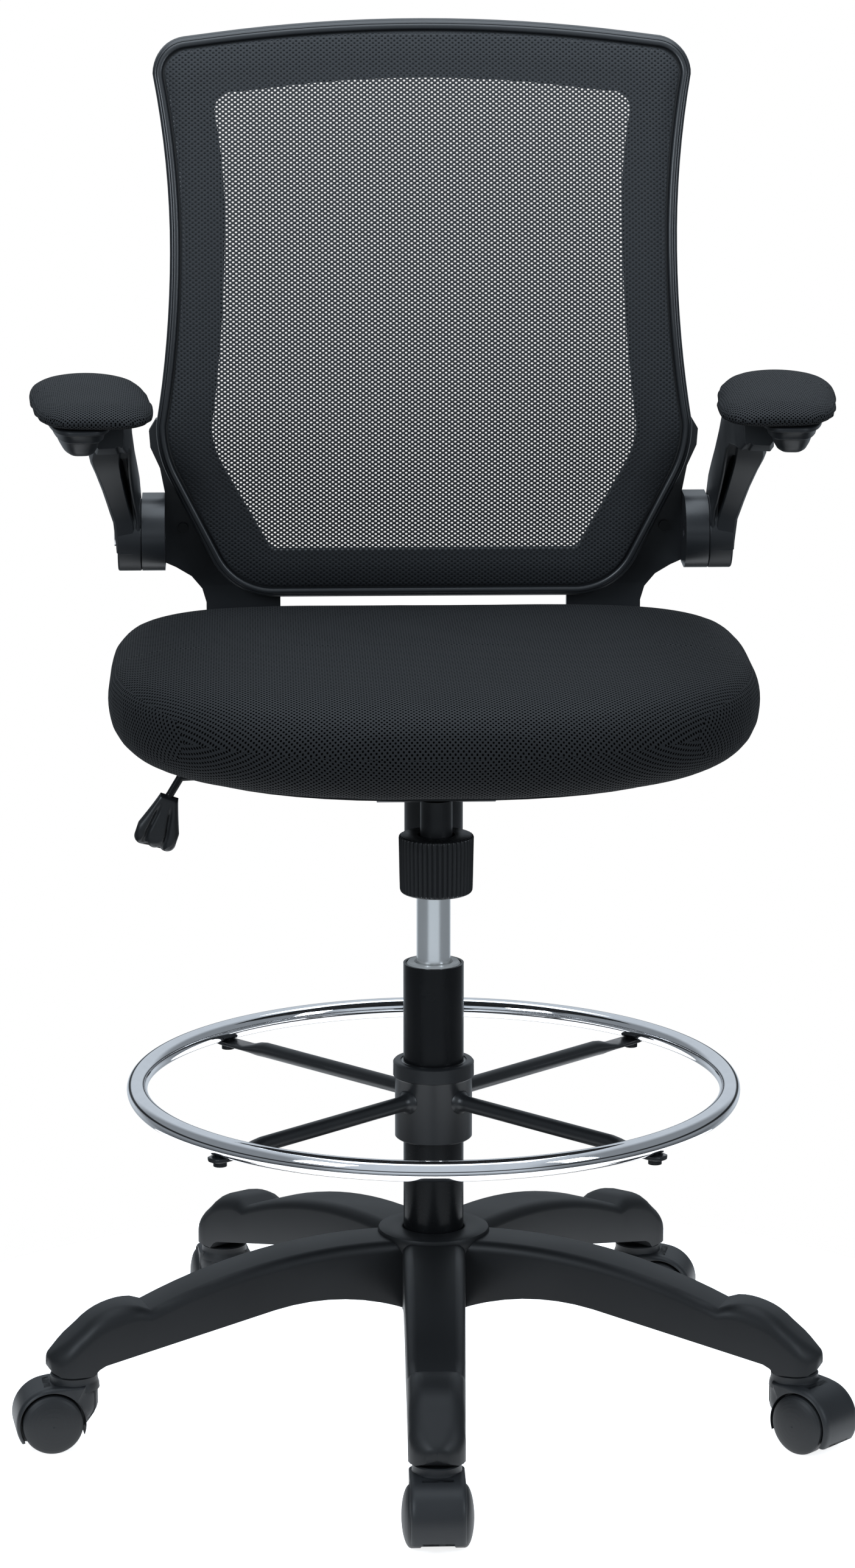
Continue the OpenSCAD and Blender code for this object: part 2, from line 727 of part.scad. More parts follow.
// How far a flat head stands off the curved face under it
head_lift = 0.45;
side_screw_x = 206;
side_screw_z = 706;
module back_screw_hole(p) {
    translate([p[0], 200, p[1]]) rotate([-90, 0, 0]) cylinder(r = screw_r, h = 100);
}

// Screws that hold the plate and the brackets to the pan, the brackets to the back frame, and one
// on each bracket's front beside the frame
module seat_screws() {
    color(steel) {
        for (p = plate_screw_places) translate([p[0], p[1], plate_z - 3]) {
            cylinder(r = 5.5, h = 3);
            cylinder(r = screw_r, h = seat_z - 1 - plate_z);
        }
        for (p = bracket_screw_places) translate([p[0], p[1], bracket_foot_z - 12]) {
            cylinder(r = 5.5, h = 3);
            cylinder(r = screw_r, h = seat_z + 8 - bracket_foot_z);
        }
        for (p = back_screw_places) {
            rear = back_y(p[1]) + frame_depth + bracket_gap + bracket_t + head_lift;
            translate([p[0], rear, p[1]]) rotate([-90, 0, 0]) cylinder(r = 5.5, h = 3);
            translate([p[0], rear - bracket_t - bracket_gap, p[1]]) rotate([-90, 0, 0])
                cylinder(r = screw_r, h = bracket_t + bracket_gap + 1);
        }
        side_screw_y = back_y(side_screw_z) + frame_depth;
        for (side = [-1, 1]) translate([side * side_screw_x, side_screw_y, side_screw_z])
            rotate([-90, 0, 0]) {
                translate([0, 0, bracket_gap - 3 - head_lift]) cylinder(r = 4.5, h = 3);
                translate([0, 0, -1]) cylinder(r = screw_r, h = bracket_gap + bracket_t + 1);
            }
    }
}

// ---------------------------------------------------------------- arms
arm_inner = knuckle_outer + 0.4;
arm_outer = 260.7;
pad_t = 20;
plate_top = pad_top - pad_t;
tray_t = 25;
tray_bottom = plate_top - 0.2 - tray_t;
pad_toe = 5.5;
shelf_x = [246, 274];
tray_half_w = 25;
tray_out = 12;
shelf_y = [-30, 150];

// A thin slice of the arm at a height: x and y range
module arm_slice(side, z, x, y) {
    translate([side > 0 ? x[0] : -x[1], y[0], z]) linear_extrude(1) square([x[1] - x[0], y[1] - y[0]]);
}

// The block at the top of an arm, which runs forward under the pad
module arm_shelf(side, gap) {
    translate([side > 0 ? shelf_x[0] - gap : -shelf_x[1] - gap, shelf_y[0] - gap, tray_bottom - 2 - gap])
        cube([shelf_x[1] - shelf_x[0] + 2 * gap, shelf_y[1] - shelf_y[0] + 2 * gap, tray_t + 2 + gap]);
}

module arm_bar(side) {
    heights = [pivot_z, pivot_z + 54, pivot_z + 86, tray_bottom - 1.3];
    x = [[arm_inner, arm_outer], [244, 271], [247, 279], [246, 284]];
    y = [[pivot_y - 31, pivot_y + 31], [pivot_y - 62, pivot_y + 4], [105, 200], [50, 175]];
    color(nylon) difference() {
        union() {
            translate([side > 0 ? arm_inner : -arm_outer, pivot_y, pivot_z]) rotate([0, 90, 0])
                cylinder(d = knuckle_d, h = arm_outer - arm_inner);
            for (i = [0:2]) hull() {
                arm_slice(side, heights[i], x[i], y[i]);
                arm_slice(side, heights[i + 1], x[i + 1], y[i + 1]);
            }
            arm_shelf(side, 0);
        }
        translate([side > 0 ? 200 : -300, pivot_y, pivot_z]) rotate([0, 90, 0])
            cylinder(r = arm_pivot_r + run_gap, h = 100);
        translate([side > 0 ? arm_outer : -arm_outer - 30, pivot_y, pivot_z]) rotate([0, 90, 0])
            cylinder(r = pivot_head_r + 0.6, h = 30);
    }
}

// Plan of a pad or its tray: blunt at the front and rounder at the rear, pulled in by inset and
// pushed back by back at its front
module pad_plan(inset, back = 0, half_w = pad_w / 2) {
    w = half_w - inset;
    l = pad_l / 2 - inset - back / 2;
    translate([0, back / 2]) polygon([for (i = [0:31])
        let (a = 360 * i / 32, c = cos(a), s = sin(a), square = s < 0 ? 0.52 : 0.8)
            [w * sign(c) * pow(abs(c), square), l * sign(s) * pow(abs(s), square)]]);
}

module pad_place(side) {
    translate([side * pad_x, 0, 0]) rotate([0, 0, -side * pad_toe]) children();
}

// The tray that the pad sits in, cut away round the arm's shelf
module arm_plate(side) {
    color(nylon) difference() {
        pad_place(side) translate([side * tray_out, 0, 0]) hull() {
            translate([0, 0, tray_bottom]) linear_extrude(1) pad_plan(12, 24, tray_half_w);
            translate([0, 0, plate_top - 12]) linear_extrude(1) pad_plan(5, 8, tray_half_w);
            translate([0, 0, plate_top - 1.2]) linear_extrude(1) pad_plan(0, 8, tray_half_w);
        }
        arm_shelf(side, 0.2);
    }
}

module arm_pad(side) {
    color(fabric) pad_place(side) hull() {
        translate([0, 0, plate_top]) linear_extrude(0.5) pad_plan(5);
        translate([0, 0, plate_top + 6]) linear_extrude(0.5) pad_plan(0);
        translate([0, 0, plate_top + 14]) linear_extrude(0.5) pad_plan(8);
        translate([0, 0, pad_top - 0.5]) linear_extrude(0.5) pad_plan(24);
    }
}

module arm_pivot(side) {
    color(steel) translate([side > 0 ? 196 : -arm_outer - 3, pivot_y, pivot_z]) rotate([0, 90, 0]) {
        length = arm_outer + 3 - 196;
        translate([0, 0, side > 0 ? 27 : 0]) cylinder(r = arm_pivot_r, h = length - 27);
        translate([0, 0, side > 0 ? length - 2.6 : 0]) cylinder(r = pivot_head_r, h = 2.6);
    }
}

star_base();
column_tube();
guide_bush();
thrust_bearing();
piston_rod();
for (k = [0:4]) for (piece = caster_pieces)
    caster_piece(k, piece);
gas_cylinder();
valve_pin();
tilt_housing();
tilt_pivot();
tension_spring();
tension_knob();
lever_rocker();
lever_rod();
lever_handle();
tilt_plate();
seat_pan();
seat_cushion();
seat_screws();
back_bracket(1);  // back_bracket_left
back_bracket(-1);  // back_bracket_right
back_frame();
back_mesh();
arm_bar(1);  // arm_left_bar
arm_plate(1);  // arm_left_plate
arm_pad(1);  // arm_left_pad
arm_pivot(1);  // arm_left_pivot
arm_bar(-1);  // arm_right_bar
arm_plate(-1);  // arm_right_plate
arm_pad(-1);  // arm_right_pad
arm_pivot(-1);  // arm_right_pivot
ring_bush();
ring_hub();
foot_ring();
ring_bolts();
ring_knob();
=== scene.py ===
import json
import math

import bmesh
import bpy
from mathutils import Matrix, Vector


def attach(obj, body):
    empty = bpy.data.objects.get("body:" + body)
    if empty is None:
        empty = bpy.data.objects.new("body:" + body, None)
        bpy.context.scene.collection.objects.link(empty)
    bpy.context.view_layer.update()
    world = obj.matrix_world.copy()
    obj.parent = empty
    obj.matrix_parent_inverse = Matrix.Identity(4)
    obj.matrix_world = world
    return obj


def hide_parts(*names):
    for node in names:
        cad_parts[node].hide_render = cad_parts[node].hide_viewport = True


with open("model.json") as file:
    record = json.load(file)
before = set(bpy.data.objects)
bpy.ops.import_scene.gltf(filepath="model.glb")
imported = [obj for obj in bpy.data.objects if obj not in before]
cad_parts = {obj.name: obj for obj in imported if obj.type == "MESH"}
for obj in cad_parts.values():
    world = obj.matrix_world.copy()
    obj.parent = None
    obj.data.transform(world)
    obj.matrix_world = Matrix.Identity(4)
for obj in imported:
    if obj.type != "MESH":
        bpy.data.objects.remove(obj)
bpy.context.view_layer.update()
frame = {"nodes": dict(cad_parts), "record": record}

MM = 0.001
SIDES = (("left", 1), ("right", -1))
CASTERS = ("front", "right", "rear_right", "rear_left", "left")


# ---------------------------------------------------------------- node helpers
class Nodes:
    """Builds one material's node tree."""

    def __init__(self, name):
        self.material = bpy.data.materials.new(name)
        self.material.use_nodes = True
        self.tree = self.material.node_tree
        self.shader = self.tree.nodes["Principled BSDF"]
        self.output = self.tree.nodes["Material Output"]
        self.place = self.add("ShaderNodeTexCoord").outputs["Object"]

    def add(self, kind, **settings):
        node = self.tree.nodes.new(kind)
        for key, value in settings.items():
            setattr(node, key, value)
        return node

    def link(self, source, target):
        self.tree.links.new(source, target)

    def math(self, operation, a, b=None):
        node = self.add("ShaderNodeMath", operation=operation)
        for socket, value in zip(node.inputs, (a, b)):
            if value is None:
                continue
            if isinstance(value, (int, float)):
                socket.default_value = value
            else:
                self.link(value, socket)
        return node.outputs[0]

    def axes(self):
        """The x, y and z of the place on the object."""
        split = self.add("ShaderNodeSeparateXYZ")
        self.link(self.place, split.inputs[0])
        return split.outputs

    def wave(self, value, pitch):
        """A cosine with one crest per pitch."""
        return self.math("COSINE", self.math("MULTIPLY", value, 2 * math.pi / pitch))

    def noise(self, scale, detail=3.0, stretch=(1, 1, 1)):
        place = self.add("ShaderNodeMapping")
        place.inputs["Scale"].default_value = stretch
        self.link(self.place, place.inputs["Vector"])
        node = self.add("ShaderNodeTexNoise")
        node.inputs["Scale"].default_value = scale
        node.inputs["Detail"].default_value = detail
        self.link(place.outputs[0], node.inputs["Vector"])
        return node.outputs["Fac"]

    def ramp(self, value, low, high, from_low=0.0, from_high=1.0):
        node = self.add("ShaderNodeMapRange")
        node.inputs["From Min"].default_value = from_low
        node.inputs["From Max"].default_value = from_high
        node.inputs["To Min"].default_value = low
        node.inputs["To Max"].default_value = high
        self.link(value, node.inputs["Value"])
        return node.outputs["Result"]

    def colours(self, value, dark, light):
        node = self.add("ShaderNodeMix", data_type="RGBA")
        node.inputs[6].default_value = (*dark, 1)
        node.inputs[7].default_value = (*light, 1)
        self.link(value, node.inputs[0])
        return node.outputs[2]

    def bump(self, height, distance, strength=1.0):
        node = self.add("ShaderNodeBump")
        node.inputs["Distance"].default_value = distance
        node.inputs["Strength"].default_value = strength
        self.link(height, node.inputs["Height"])
        self.link(node.outputs[0], self.shader.inputs["Normal"])

    def set(self, **values):
        for name, value in values.items():
            self.shader.inputs[name.replace("_", " ")].default_value = value


# ---------------------------------------------------------------- materials
def grey(value):
    """A near-black grey, a touch cool."""
    return (value, value * 1.09, value * 1.22)


def moulded(name, dark, light, roughness, specular=0.3, grain=900.0, depth=0.00005):
    """Moulded plastic: slight cloudiness in its colour and gloss, and a fine spark-eroded grain."""
    n = Nodes(name)
    clouds = n.noise(22.0)
    fine = n.noise(grain, 2.0)
    n.link(n.colours(clouds, dark, light), n.shader.inputs["Base Color"])
    n.link(n.ramp(clouds, roughness - 0.04, roughness + 0.05), n.shader.inputs["Roughness"])
    n.set(Specular_IOR_Level=specular)
    n.bump(fine, depth, 0.5)
    return n.material


def powder_coat(name, value, roughness, specular=0.4):
    """Powder coat: orange-peel bump under a soft gloss."""
    n = Nodes(name)
    clouds = n.noise(30.0)
    peel = n.noise(700.0, 1.0)
    n.link(n.colours(clouds, grey(value), grey(value * 1.4)), n.shader.inputs["Base Color"])
    n.link(n.ramp(clouds, roughness - 0.04, roughness + 0.05), n.shader.inputs["Roughness"])
    n.set(Specular_IOR_Level=specular)
    n.bump(peel, 0.00008, 0.4)
    return n.material


def metal(name, colour, roughness, streaks=(1, 1, 1), spread=0.08):
    """Bare or plated metal, with faint handling marks drawn out along one direction."""
    n = Nodes(name)
    marks = n.noise(90.0, 4.0, streaks)
    n.link(n.colours(marks, [c * 0.88 for c in colour], colour), n.shader.inputs["Base Color"])
    n.link(n.ramp(marks, roughness, roughness + spread), n.shader.inputs["Roughness"])
    n.set(Metallic=1.0)
    n.bump(marks, 0.00001, 0.3)
    return n.material


def stagger(n, across, along, width, height):
    """1 in the middle of each cell of a staggered pattern, -1 between the cells."""
    return n.math("MULTIPLY", n.wave(across, width), n.wave(along, height))


def spacer_fabric(name, shade, pitch=0.0042, row=0.0054):
    """Knitted spacer cloth: staggered dark eyes in a slightly raised, lighter knit.
    The rows run across the top and down the front and rear, and turn back under the piece. On the sides
    they follow the other axis."""
    n = Nodes(name)
    x, y, z = n.axes()
    normal = n.add("ShaderNodeSeparateXYZ")
    n.link(n.add("ShaderNodeTexCoord").outputs["Normal"], normal.inputs[0])
    on_side = n.math("GREATER_THAN", n.math("ABSOLUTE", normal.outputs[0]), 0.72)
    off_side = n.math("SUBTRACT", 1.0, on_side)
    across = n.math("ADD", n.math("MULTIPLY", x, off_side), n.math("MULTIPLY", y, on_side))
    underneath = n.math("LESS_THAN", normal.outputs[2], -0.05)
    slope = n.math("MULTIPLY", off_side, n.math("SUBTRACT", n.math("MULTIPLY", underneath, 2.0), 1.0))
    run = n.math("ADD", z, n.math("MULTIPLY", n.math("ABSOLUTE", y), slope))
    cells = stagger(n, across, run, pitch, row)
    knit = n.ramp(cells, 1.0, 0.0, 0.15, 0.6)
    fuzz = n.noise(1600.0, 2.0)
    patches = n.noise(14.0, 2.0)
    lit = n.math("MULTIPLY", knit, n.ramp(fuzz, 0.7, 1.15))
    lit = n.math("MULTIPLY", lit, n.ramp(patches, 0.85, 1.1))
    n.link(n.colours(lit, grey(shade * 0.03), grey(shade)), n.shader.inputs["Base Color"])
    n.link(n.ramp(knit, 0.95, 0.72), n.shader.inputs["Roughness"])
    n.link(n.math("MULTIPLY", knit, 0.3), n.shader.inputs["Specular IOR Level"])
    n.bump(n.math("ADD", knit, n.math("MULTIPLY", fuzz, 0.3)), 0.0005, 0.7)
    return n.material


def open_mesh(name, shade, pitch=0.0052, row=0.0038):
    """The back's stretched net: staggered openings that let the light through."""
    n = Nodes(name)
    x, _, z = n.axes()
    cells = stagger(n, x, z, pitch, row)
    wobble = n.noise(500.0, 2.0)
    edge = n.math("ADD", cells, n.math("MULTIPLY", n.math("SUBTRACT", wobble, 0.5), 0.25))
    hole = n.ramp(edge, 0.0, 0.82, 0.30, 0.52)
    thread = n.noise(1500.0, 2.0, (1, 1, 2.5))
    n.link(n.colours(thread, grey(shade * 0.7), grey(shade * 1.4)), n.shader.inputs["Base Color"])
    n.link(n.ramp(thread, 0.5, 0.7), n.shader.inputs["Roughness"])
    n.set(Specular_IOR_Level=0.3)
    n.bump(n.math("ADD", n.math("MULTIPLY", cells, -1.0), thread), 0.0004, 0.6)
    clear = n.add("ShaderNodeBsdfTransparent")
    mix = n.add("ShaderNodeMixShader")
    n.link(hole, mix.inputs[0])
    n.link(n.shader.outputs[0], mix.inputs[1])
    n.link(clear.outputs[0], mix.inputs[2])
    n.link(mix.outputs[0], n.output.inputs["Surface"])
    return n.material


MATERIALS = {
    "base_nylon": moulded("base_nylon", grey(0.006), grey(0.009), 0.44, 0.26),
    "caster_nylon": moulded("caster_nylon", grey(0.010), grey(0.015), 0.44),
    "wheel_nylon": moulded("wheel_nylon", grey(0.008), grey(0.012), 0.48, 0.3),
    "zinc_steel": metal("zinc_steel", (0.62, 0.62, 0.63), 0.28),
    "black_screws": powder_coat("black_screws", 0.005, 0.4, 0.3),
    "column_paint": powder_coat("column_paint", 0.004, 0.26, 0.18),
    "housing_paint": powder_coat("housing_paint", 0.010, 0.42),
    "cylinder_steel": metal("cylinder_steel", (0.96, 0.97, 0.97), 0.18, (1, 1, 0.05)),
    "bush_plastic": moulded("bush_plastic", (0.42, 0.42, 0.41), (0.5, 0.5, 0.49), 0.35),
    "ring_chrome": metal("ring_chrome", (0.92, 0.92, 0.94), 0.03, (1, 1, 1), 0.03),
    "ring_hub_plastic": moulded("ring_hub_plastic", grey(0.007), grey(0.011), 0.34, 0.4),
    "control_plastic": moulded("control_plastic", grey(0.007), grey(0.010), 0.34, 0.45),
    "pan_plastic": moulded("pan_plastic", grey(0.010), grey(0.014), 0.5),
    "seat_fabric": spacer_fabric("seat_fabric", 0.0135),
    "back_plastic": moulded("back_plastic", grey(0.014), grey(0.019), 0.32, 0.5),
    "back_mesh_fabric": open_mesh("back_mesh_fabric", 0.023),
    "arm_plastic": moulded("arm_plastic", grey(0.011), grey(0.016), 0.42, 0.35),
    "arm_pad_skin": spacer_fabric("arm_pad_skin", 0.0155, 0.0034, 0.0044),
}
SLOTS = {s["node"]: s["material_slot"] for s in frame["record"]["subparts"]}
BODIES = {node: body for body, members in frame["record"]["behaviour"]["bodies"].items() for node in members}


# ---------------------------------------------------------------- shapes, drawn in millimetres
def arc(cx, cy, r, start, end, steps):
    """Points along an arc, from one angle to another in degrees."""
    turn = [math.radians(start + (end - start) * i / steps) for i in range(steps + 1)]
    return [(cx + r * math.cos(a), cy + r * math.sin(a)) for a in turn]


def mix(a, b, t):
    return a + (b - a) * t


def bent(value, power):
    """A power of a value that keeps its sign, for the plans of rounded rectangles."""
    return math.copysign(abs(value) ** power, value)


def spin(angle, x=0.0, y=0.0, z=0.0):
    """Turns about Z by an angle in degrees, after a shift."""
    return Matrix.Rotation(math.radians(angle), 4, "Z") @ Matrix.Translation((x, y, z))


class Shape:
    """Points and faces of one piece."""

    def __init__(self):
        self.points = []
        self.faces = []

    def add(self, points, faces, place=None):
        start = len(self.points)
        for p in points:
            self.points.append(place @ Vector(p) if place else Vector(p))
        self.faces += [[start + i for i in face] for face in faces]
        return self

    def loft(self, rings, place=None, ends=True, looped=False):
        """Joins rings of equally many points; looped joins the last ring to the first."""
        n = len(rings[0])
        count = len(rings)
        spans = count if looped else count - 1
        faces = []
        for i in range(spans):
            a, b = i * n, (i + 1) % count * n
            faces += [[a + j, a + (j + 1) % n, b + (j + 1) % n, b + j] for j in range(n)]
        if ends and not looped:
            faces.append(list(range(n)))
            faces.append([(count - 1) * n + j for j in range(n)])
        return self.add([p for ring in rings for p in ring], faces, place)

    def revolve(self, profile, steps=64, place=None, radius=lambda r, turn: r):
        """Turns a closed profile of (radius, height) about Z."""
        rings = []
        for i in range(steps):
            a = 2 * math.pi * i / steps
            rings.append([(radius(r, a) * math.cos(a), radius(r, a) * math.sin(a), z) for r, z in profile])
        return self.loft(rings, place, looped=True)

    def box(self, low, high, place=None):
        x, y, z = ((low[k], high[k]) for k in range(3))
        rings = [[(x[0], y[0], h), (x[1], y[0], h), (x[1], y[1], h), (x[0], y[1], h)] for h in z]
        return self.loft(rings, place)

    def build(self, name, sharp=35.0):
        """Makes a mesh object, smooth except where two faces meet at more than the sharp angle."""
        mesh = bpy.data.meshes.new(name)
        mesh.from_pydata([p * MM for p in self.points], [], self.faces)
        tidy = bmesh.new()
        tidy.from_mesh(mesh)
        bmesh.ops.remove_doubles(tidy, verts=tidy.verts, dist=1e-6)
        bmesh.ops.recalc_face_normals(tidy, faces=tidy.faces)
        tidy.to_mesh(mesh)
        tidy.free()
        mesh.shade_smooth()
        mesh.set_sharp_from_angle(angle=math.radians(sharp))
        obj = bpy.data.objects.new(name, mesh)
        bpy.context.scene.collection.objects.link(obj)
        return obj


def bevel(obj, width, segments=2, angle=35.0):
    """Rounds the sharp edges. The width is in millimetres."""
    mod = obj.modifiers.new("rounding", "BEVEL")
    mod.width = width * MM
    mod.segments = segments
    mod.limit_method = "ANGLE"
    mod.angle_limit = math.radians(angle)
    mod.harden_normals = True


def subdivide(obj, levels=1):
    mod = obj.modifiers.new("smooth", "SUBSURF")
    mod.levels = levels
    mod.render_levels = levels


def stand_for(obj, node):
    """The piece takes the place, the body and the finish of a CAD node."""
    obj.data.materials.append(MATERIALS[SLOTS[node]])
    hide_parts(node)
    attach(obj, BODIES[node])
    return obj


def ray_hit(outline, centre, angle):
    """Where a ray from the centre crosses a closed outline that goes once round it."""
    dx, dy = math.cos(angle), math.sin(angle)
    best = 0.0
    for (ax, ay), (bx, by) in zip(outline, outline[1:] + outline[:1]):
        ex, ey = bx - ax, by - ay
        cross = dx * ey - dy * ex
        if abs(cross) < 1e-9:
            continue
        qx, qy = ax - centre[0], ay - centre[1]
        t = (qx * ey - qy * ex) / cross
        s = (qx * dy - qy * dx) / cross
        if t > 0 and -1e-9 <= s <= 1 + 1e-9:
            best = max(best, t)
    return best


def even_angles(outline, centre, count):
    """Directions from the centre to points spaced evenly along a closed outline."""
    edges = list(zip(outline, outline[1:] + outline[:1]))
    lengths = [math.dist(a, b) for a, b in edges]
    step = sum(lengths) / count
    angles = []
    walked = 0.0
    for (a, b), length in zip(edges, lengths):
        while len(angles) * step < walked + length and len(angles) < count:
            t = (len(angles) * step - walked) / length
            angles.append(math.atan2(mix(a[1], b[1], t) - centre[1], mix(a[0], b[0], t) - centre[0]))
        walked += length
    return angles


# ---------------------------------------------------------------- base
BASE_TURN = -91.5
STEM_R = 311.0
HUB_TOP = 158.0
COLUMN_R = 25.0
ARM_ROOT = 26.5
ARM_TIP = 22.5
# The top of an arm is an arc of this radius, highest at ARM_CREST from the column
ARM_CURVE = 480.0
ARM_CREST = 60.0
ARM_HIGH = 154.0
ARM_STRAIGHT = 250.0
# (distance, height, radius) of the arcs over the boss and round its nose
BOSS_ARC = (268.0, 67.0, 52.0)
NOSE_ARC = (324.0, 74.5, 10.5)
BOSS_FLOOR = 64.0
BOSS_STARTS = 293.0
RIB_TOP = 8.0
BOSS_R = 23.0
WALL = 3.5
ARM_EDGE = 9.0
BOSS_EDGE = 15.0
HOLLOW = (46.0, 287.0)


def arm_half_width(s):
    """Half the width of a base arm at a distance from the column."""
    if s <= STEM_R:
        return mix(ARM_ROOT, ARM_TIP, s / STEM_R)
    return math.sqrt(max(BOSS_R ** 2 - (s - STEM_R) ** 2, 0.04))


def arm_floor(s):
    """Height of the underside: arched from the hub, then straight, flat under the caster."""
    arch_x, arch_z, arch_r = 105.0, -80.0, 190.0
    arch_end, arch_low = 148.4, 105.0
    straight_low = 71.4
    step = 7.0
    if s < arch_end:
        return arch_z + math.sqrt(arch_r ** 2 - (s - arch_x) ** 2)
    if s < BOSS_STARTS:
        return mix(arch_low, straight_low, (s - arch_end) / (BOSS_STARTS - arch_end))
    if s < BOSS_STARTS + step:
        return mix(straight_low, BOSS_FLOOR, (s - BOSS_STARTS) / step)
    nose_x, nose_z, nose_r = NOSE_ARC
    if s < nose_x:
        return BOSS_FLOOR
    return nose_z - math.sqrt(max(nose_r ** 2 - (s - nose_x) ** 2, 0.0))


def arm_section(s, top, hollow):
    """Ring round an arm: rounded along the top, with a thin wall where it is hollow."""
    w = arm_half_width(s)
    low = arm_floor(s)
    swell = min(max((s - 250) / 30, 0.0), 1.0)
    r = min(mix(ARM_EDGE, BOSS_EDGE, swell), 0.8 * w, 0.7 * (top - low))
    ceiling = top - max(WALL, 0.45 * r) if hollow else low + 0.01
    inner = max(w - WALL, 0.5 * w)
    left = [(-w, low)] + arc(-w + r, top - r, r, 180, 90, 5)
    right = arc(w - r, top - r, r, 90, 0, 5) + [(w, low)]
    roof = [(inner, low), (inner, ceiling), (-inner, ceiling), (-inner, low)]
    return [(s, across, z) for across, z in left + right + roof]


def arm_top(s):
    """Height of an arm's top before its boss."""
    return ARM_HIGH - ARM_CURVE + math.sqrt(ARM_CURVE ** 2 - (s - ARM_CREST) ** 2)


def arm_stations():
    """Places along an arm as (distance from the column, height of its top, whether it is hollow)."""
    run = [20.0, 30.0] + [mix(40, ARM_STRAIGHT, i / 14) for i in range(15)]
    boss = arc(*BOSS_ARC, 100, 45, 8)
    nose = arc(*NOSE_ARC, 45, 0, 5)
    start, end = boss[-1], nose[0]
    slope = [(mix(start[0], end[0], t), mix(start[1], end[1], t)) for t in (0.2, 0.4, 0.6, 0.8)]
    tops = [(s, arm_top(s)) for s in run] + boss + slope + nose
    stations = [(s, top, HOLLOW[0] < s < HOLLOW[1]) for s, top in tops]
    for wall in HOLLOW:
        at = next(i for i, station in enumerate(stations) if station[0] > wall)
        before, after = stations[at - 1], stations[at]
        top = mix(before[1], after[1], (wall - before[0]) / (after[0] - before[0]))
        opens = wall == HOLLOW[0]
        stations[at:at] = [(wall, top, not opens), (wall, top, opens)]
    return stations


def star_base():
    """Five hollow arms round a hub, each with a lengthwise rib and three cross ribs inside."""
    shape = Shape()
    rings = [arm_section(*station) for station in arm_stations()]
    spine = []
    for s in range(46, 288, 10):
        low, roof = arm_floor(s) + RIB_TOP, arm_top(min(s, ARM_STRAIGHT)) - 1
        spine.append([(s, -1.25, low), (s, 1.25, low), (s, 1.25, roof), (s, -1.25, roof)])
    for k in range(5):
        place = spin(BASE_TURN + 72 * k)
        shape.loft(rings, place)
        shape.loft(spine, place)
        for s in (100, 160, 220):
            w = arm_half_width(s) - 2
            shape.box((s, -w, arm_floor(s) + RIB_TOP), (s + 2.5, w, arm_top(s) - ARM_EDGE), place)
    shape.revolve([
        (COLUMN_R + 0.05, 95), (34, 95), (36, 112), (42, 136), (45.7, 148), (46.5, 150), (46.5, 154.5),
        (45.6, 156.6), (43.4, 157.6), (38, HUB_TOP - 0.2), (28, HUB_TOP), (26, HUB_TOP - 0.6),
        (COLUMN_R + 0.05, HUB_TOP - 2)
    ], 72)
    obj = stand_for(shape.build("base_star", 40), "star_base")
    bevel(obj, 0.8, 2, 50)


# ---------------------------------------------------------------- casters
TRAIL = 20.0
WHEEL_R = 25.0
POCKET_R = 27.0
HOOD_R = 30.0
HOOD_W = 22.0
WEB_W = 12.5
NECK_R = 19.5
NECK_TOP = 62.5
TRAIL_ANGLES = {"front": 1.5, "right": -24, "rear_right": -64, "rear_left": -29, "left": -8.5}


def hood_outline(front):
    """Side view of the hood as (trail, height), with its front wall at a given place."""
    shift = front + NECK_R
    wall = [(-NECK_R, 50), (-NECK_R, 42), (-NECK_R, 36)]
    wall += [(-17.8, 31), (-15, 27), (-12, 23), (-9, 20), (4, 12)]
    outline = [(min(x + shift, 6), z) for x, z in wall] + [(20, 9)]
    outline += arc(TRAIL, WHEEL_R, HOOD_R, -32, 78, 20)
    outline += [(20, 55.5), (8, 56.4), (-8, 56.4), (-12 + shift * 0.6, 55.5), (-16 + shift * 0.8, 53.5)]
    return outline


def caster_hood(name):
    """An arched shell over the wheels, a web between them and a round neck."""
    angles = [math.radians(-32 + 232 * i / 44) for i in range(45)]
    centre = (TRAIL, WHEEL_R)
    edge = 5.0
    half = [0, 5, 9, 12.5, 15, 17, 18.5, 19.8, 20.8, 21.5, 21.9, HOOD_W]
    widths = [-w for w in reversed(half)] + half[1:]
    outer, inner = [], []
    for w in widths:
        front = HOOD_W - NECK_R - math.sqrt(HOOD_W ** 2 - (min(abs(w), HOOD_W - 0.6)) ** 2)
        outline = hood_outline(front)
        over = max(abs(w) - (HOOD_W - edge), 0)
        inset = (edge - math.sqrt(edge ** 2 - over ** 2)) * 0.62
        outer.append([])
        inner.append([])
        for a in angles:
            reach = max(ray_hit(outline, centre, a) - inset, POCKET_R + 0.5)
            outer[-1].append((TRAIL + reach * math.cos(a), w, WHEEL_R + reach * math.sin(a)))
            inner[-1].append((TRAIL + POCKET_R * math.cos(a), w, WHEEL_R + POCKET_R * math.sin(a)))
    shape = Shape()
    shape.loft([a + b[::-1] for a, b in zip(outer, inner)])
    web = hood_outline(-NECK_R + 3)
    shape.loft([[(x, w, z) for x, z in web] for w in (-WEB_W, WEB_W)])
    shape.revolve([
        (5.6, 50), (21, 50), (20.6, 54), (19.9, 56), (NECK_R, 58), (NECK_R, NECK_TOP - 1),
        (NECK_R - 1, NECK_TOP), (5.6, NECK_TOP)
    ], 48)
    k = CASTERS.index(name)
    place = spin(BASE_TURN + 72 * k, x=STEM_R) @ spin(TRAIL_ANGLES[name])
    shape.points = [place @ p for p in shape.points]
    obj = stand_for(shape.build(f"{name}_hood", 38), f"caster_{name}_hood")
    bevel(obj, 0.6, 2, 50)


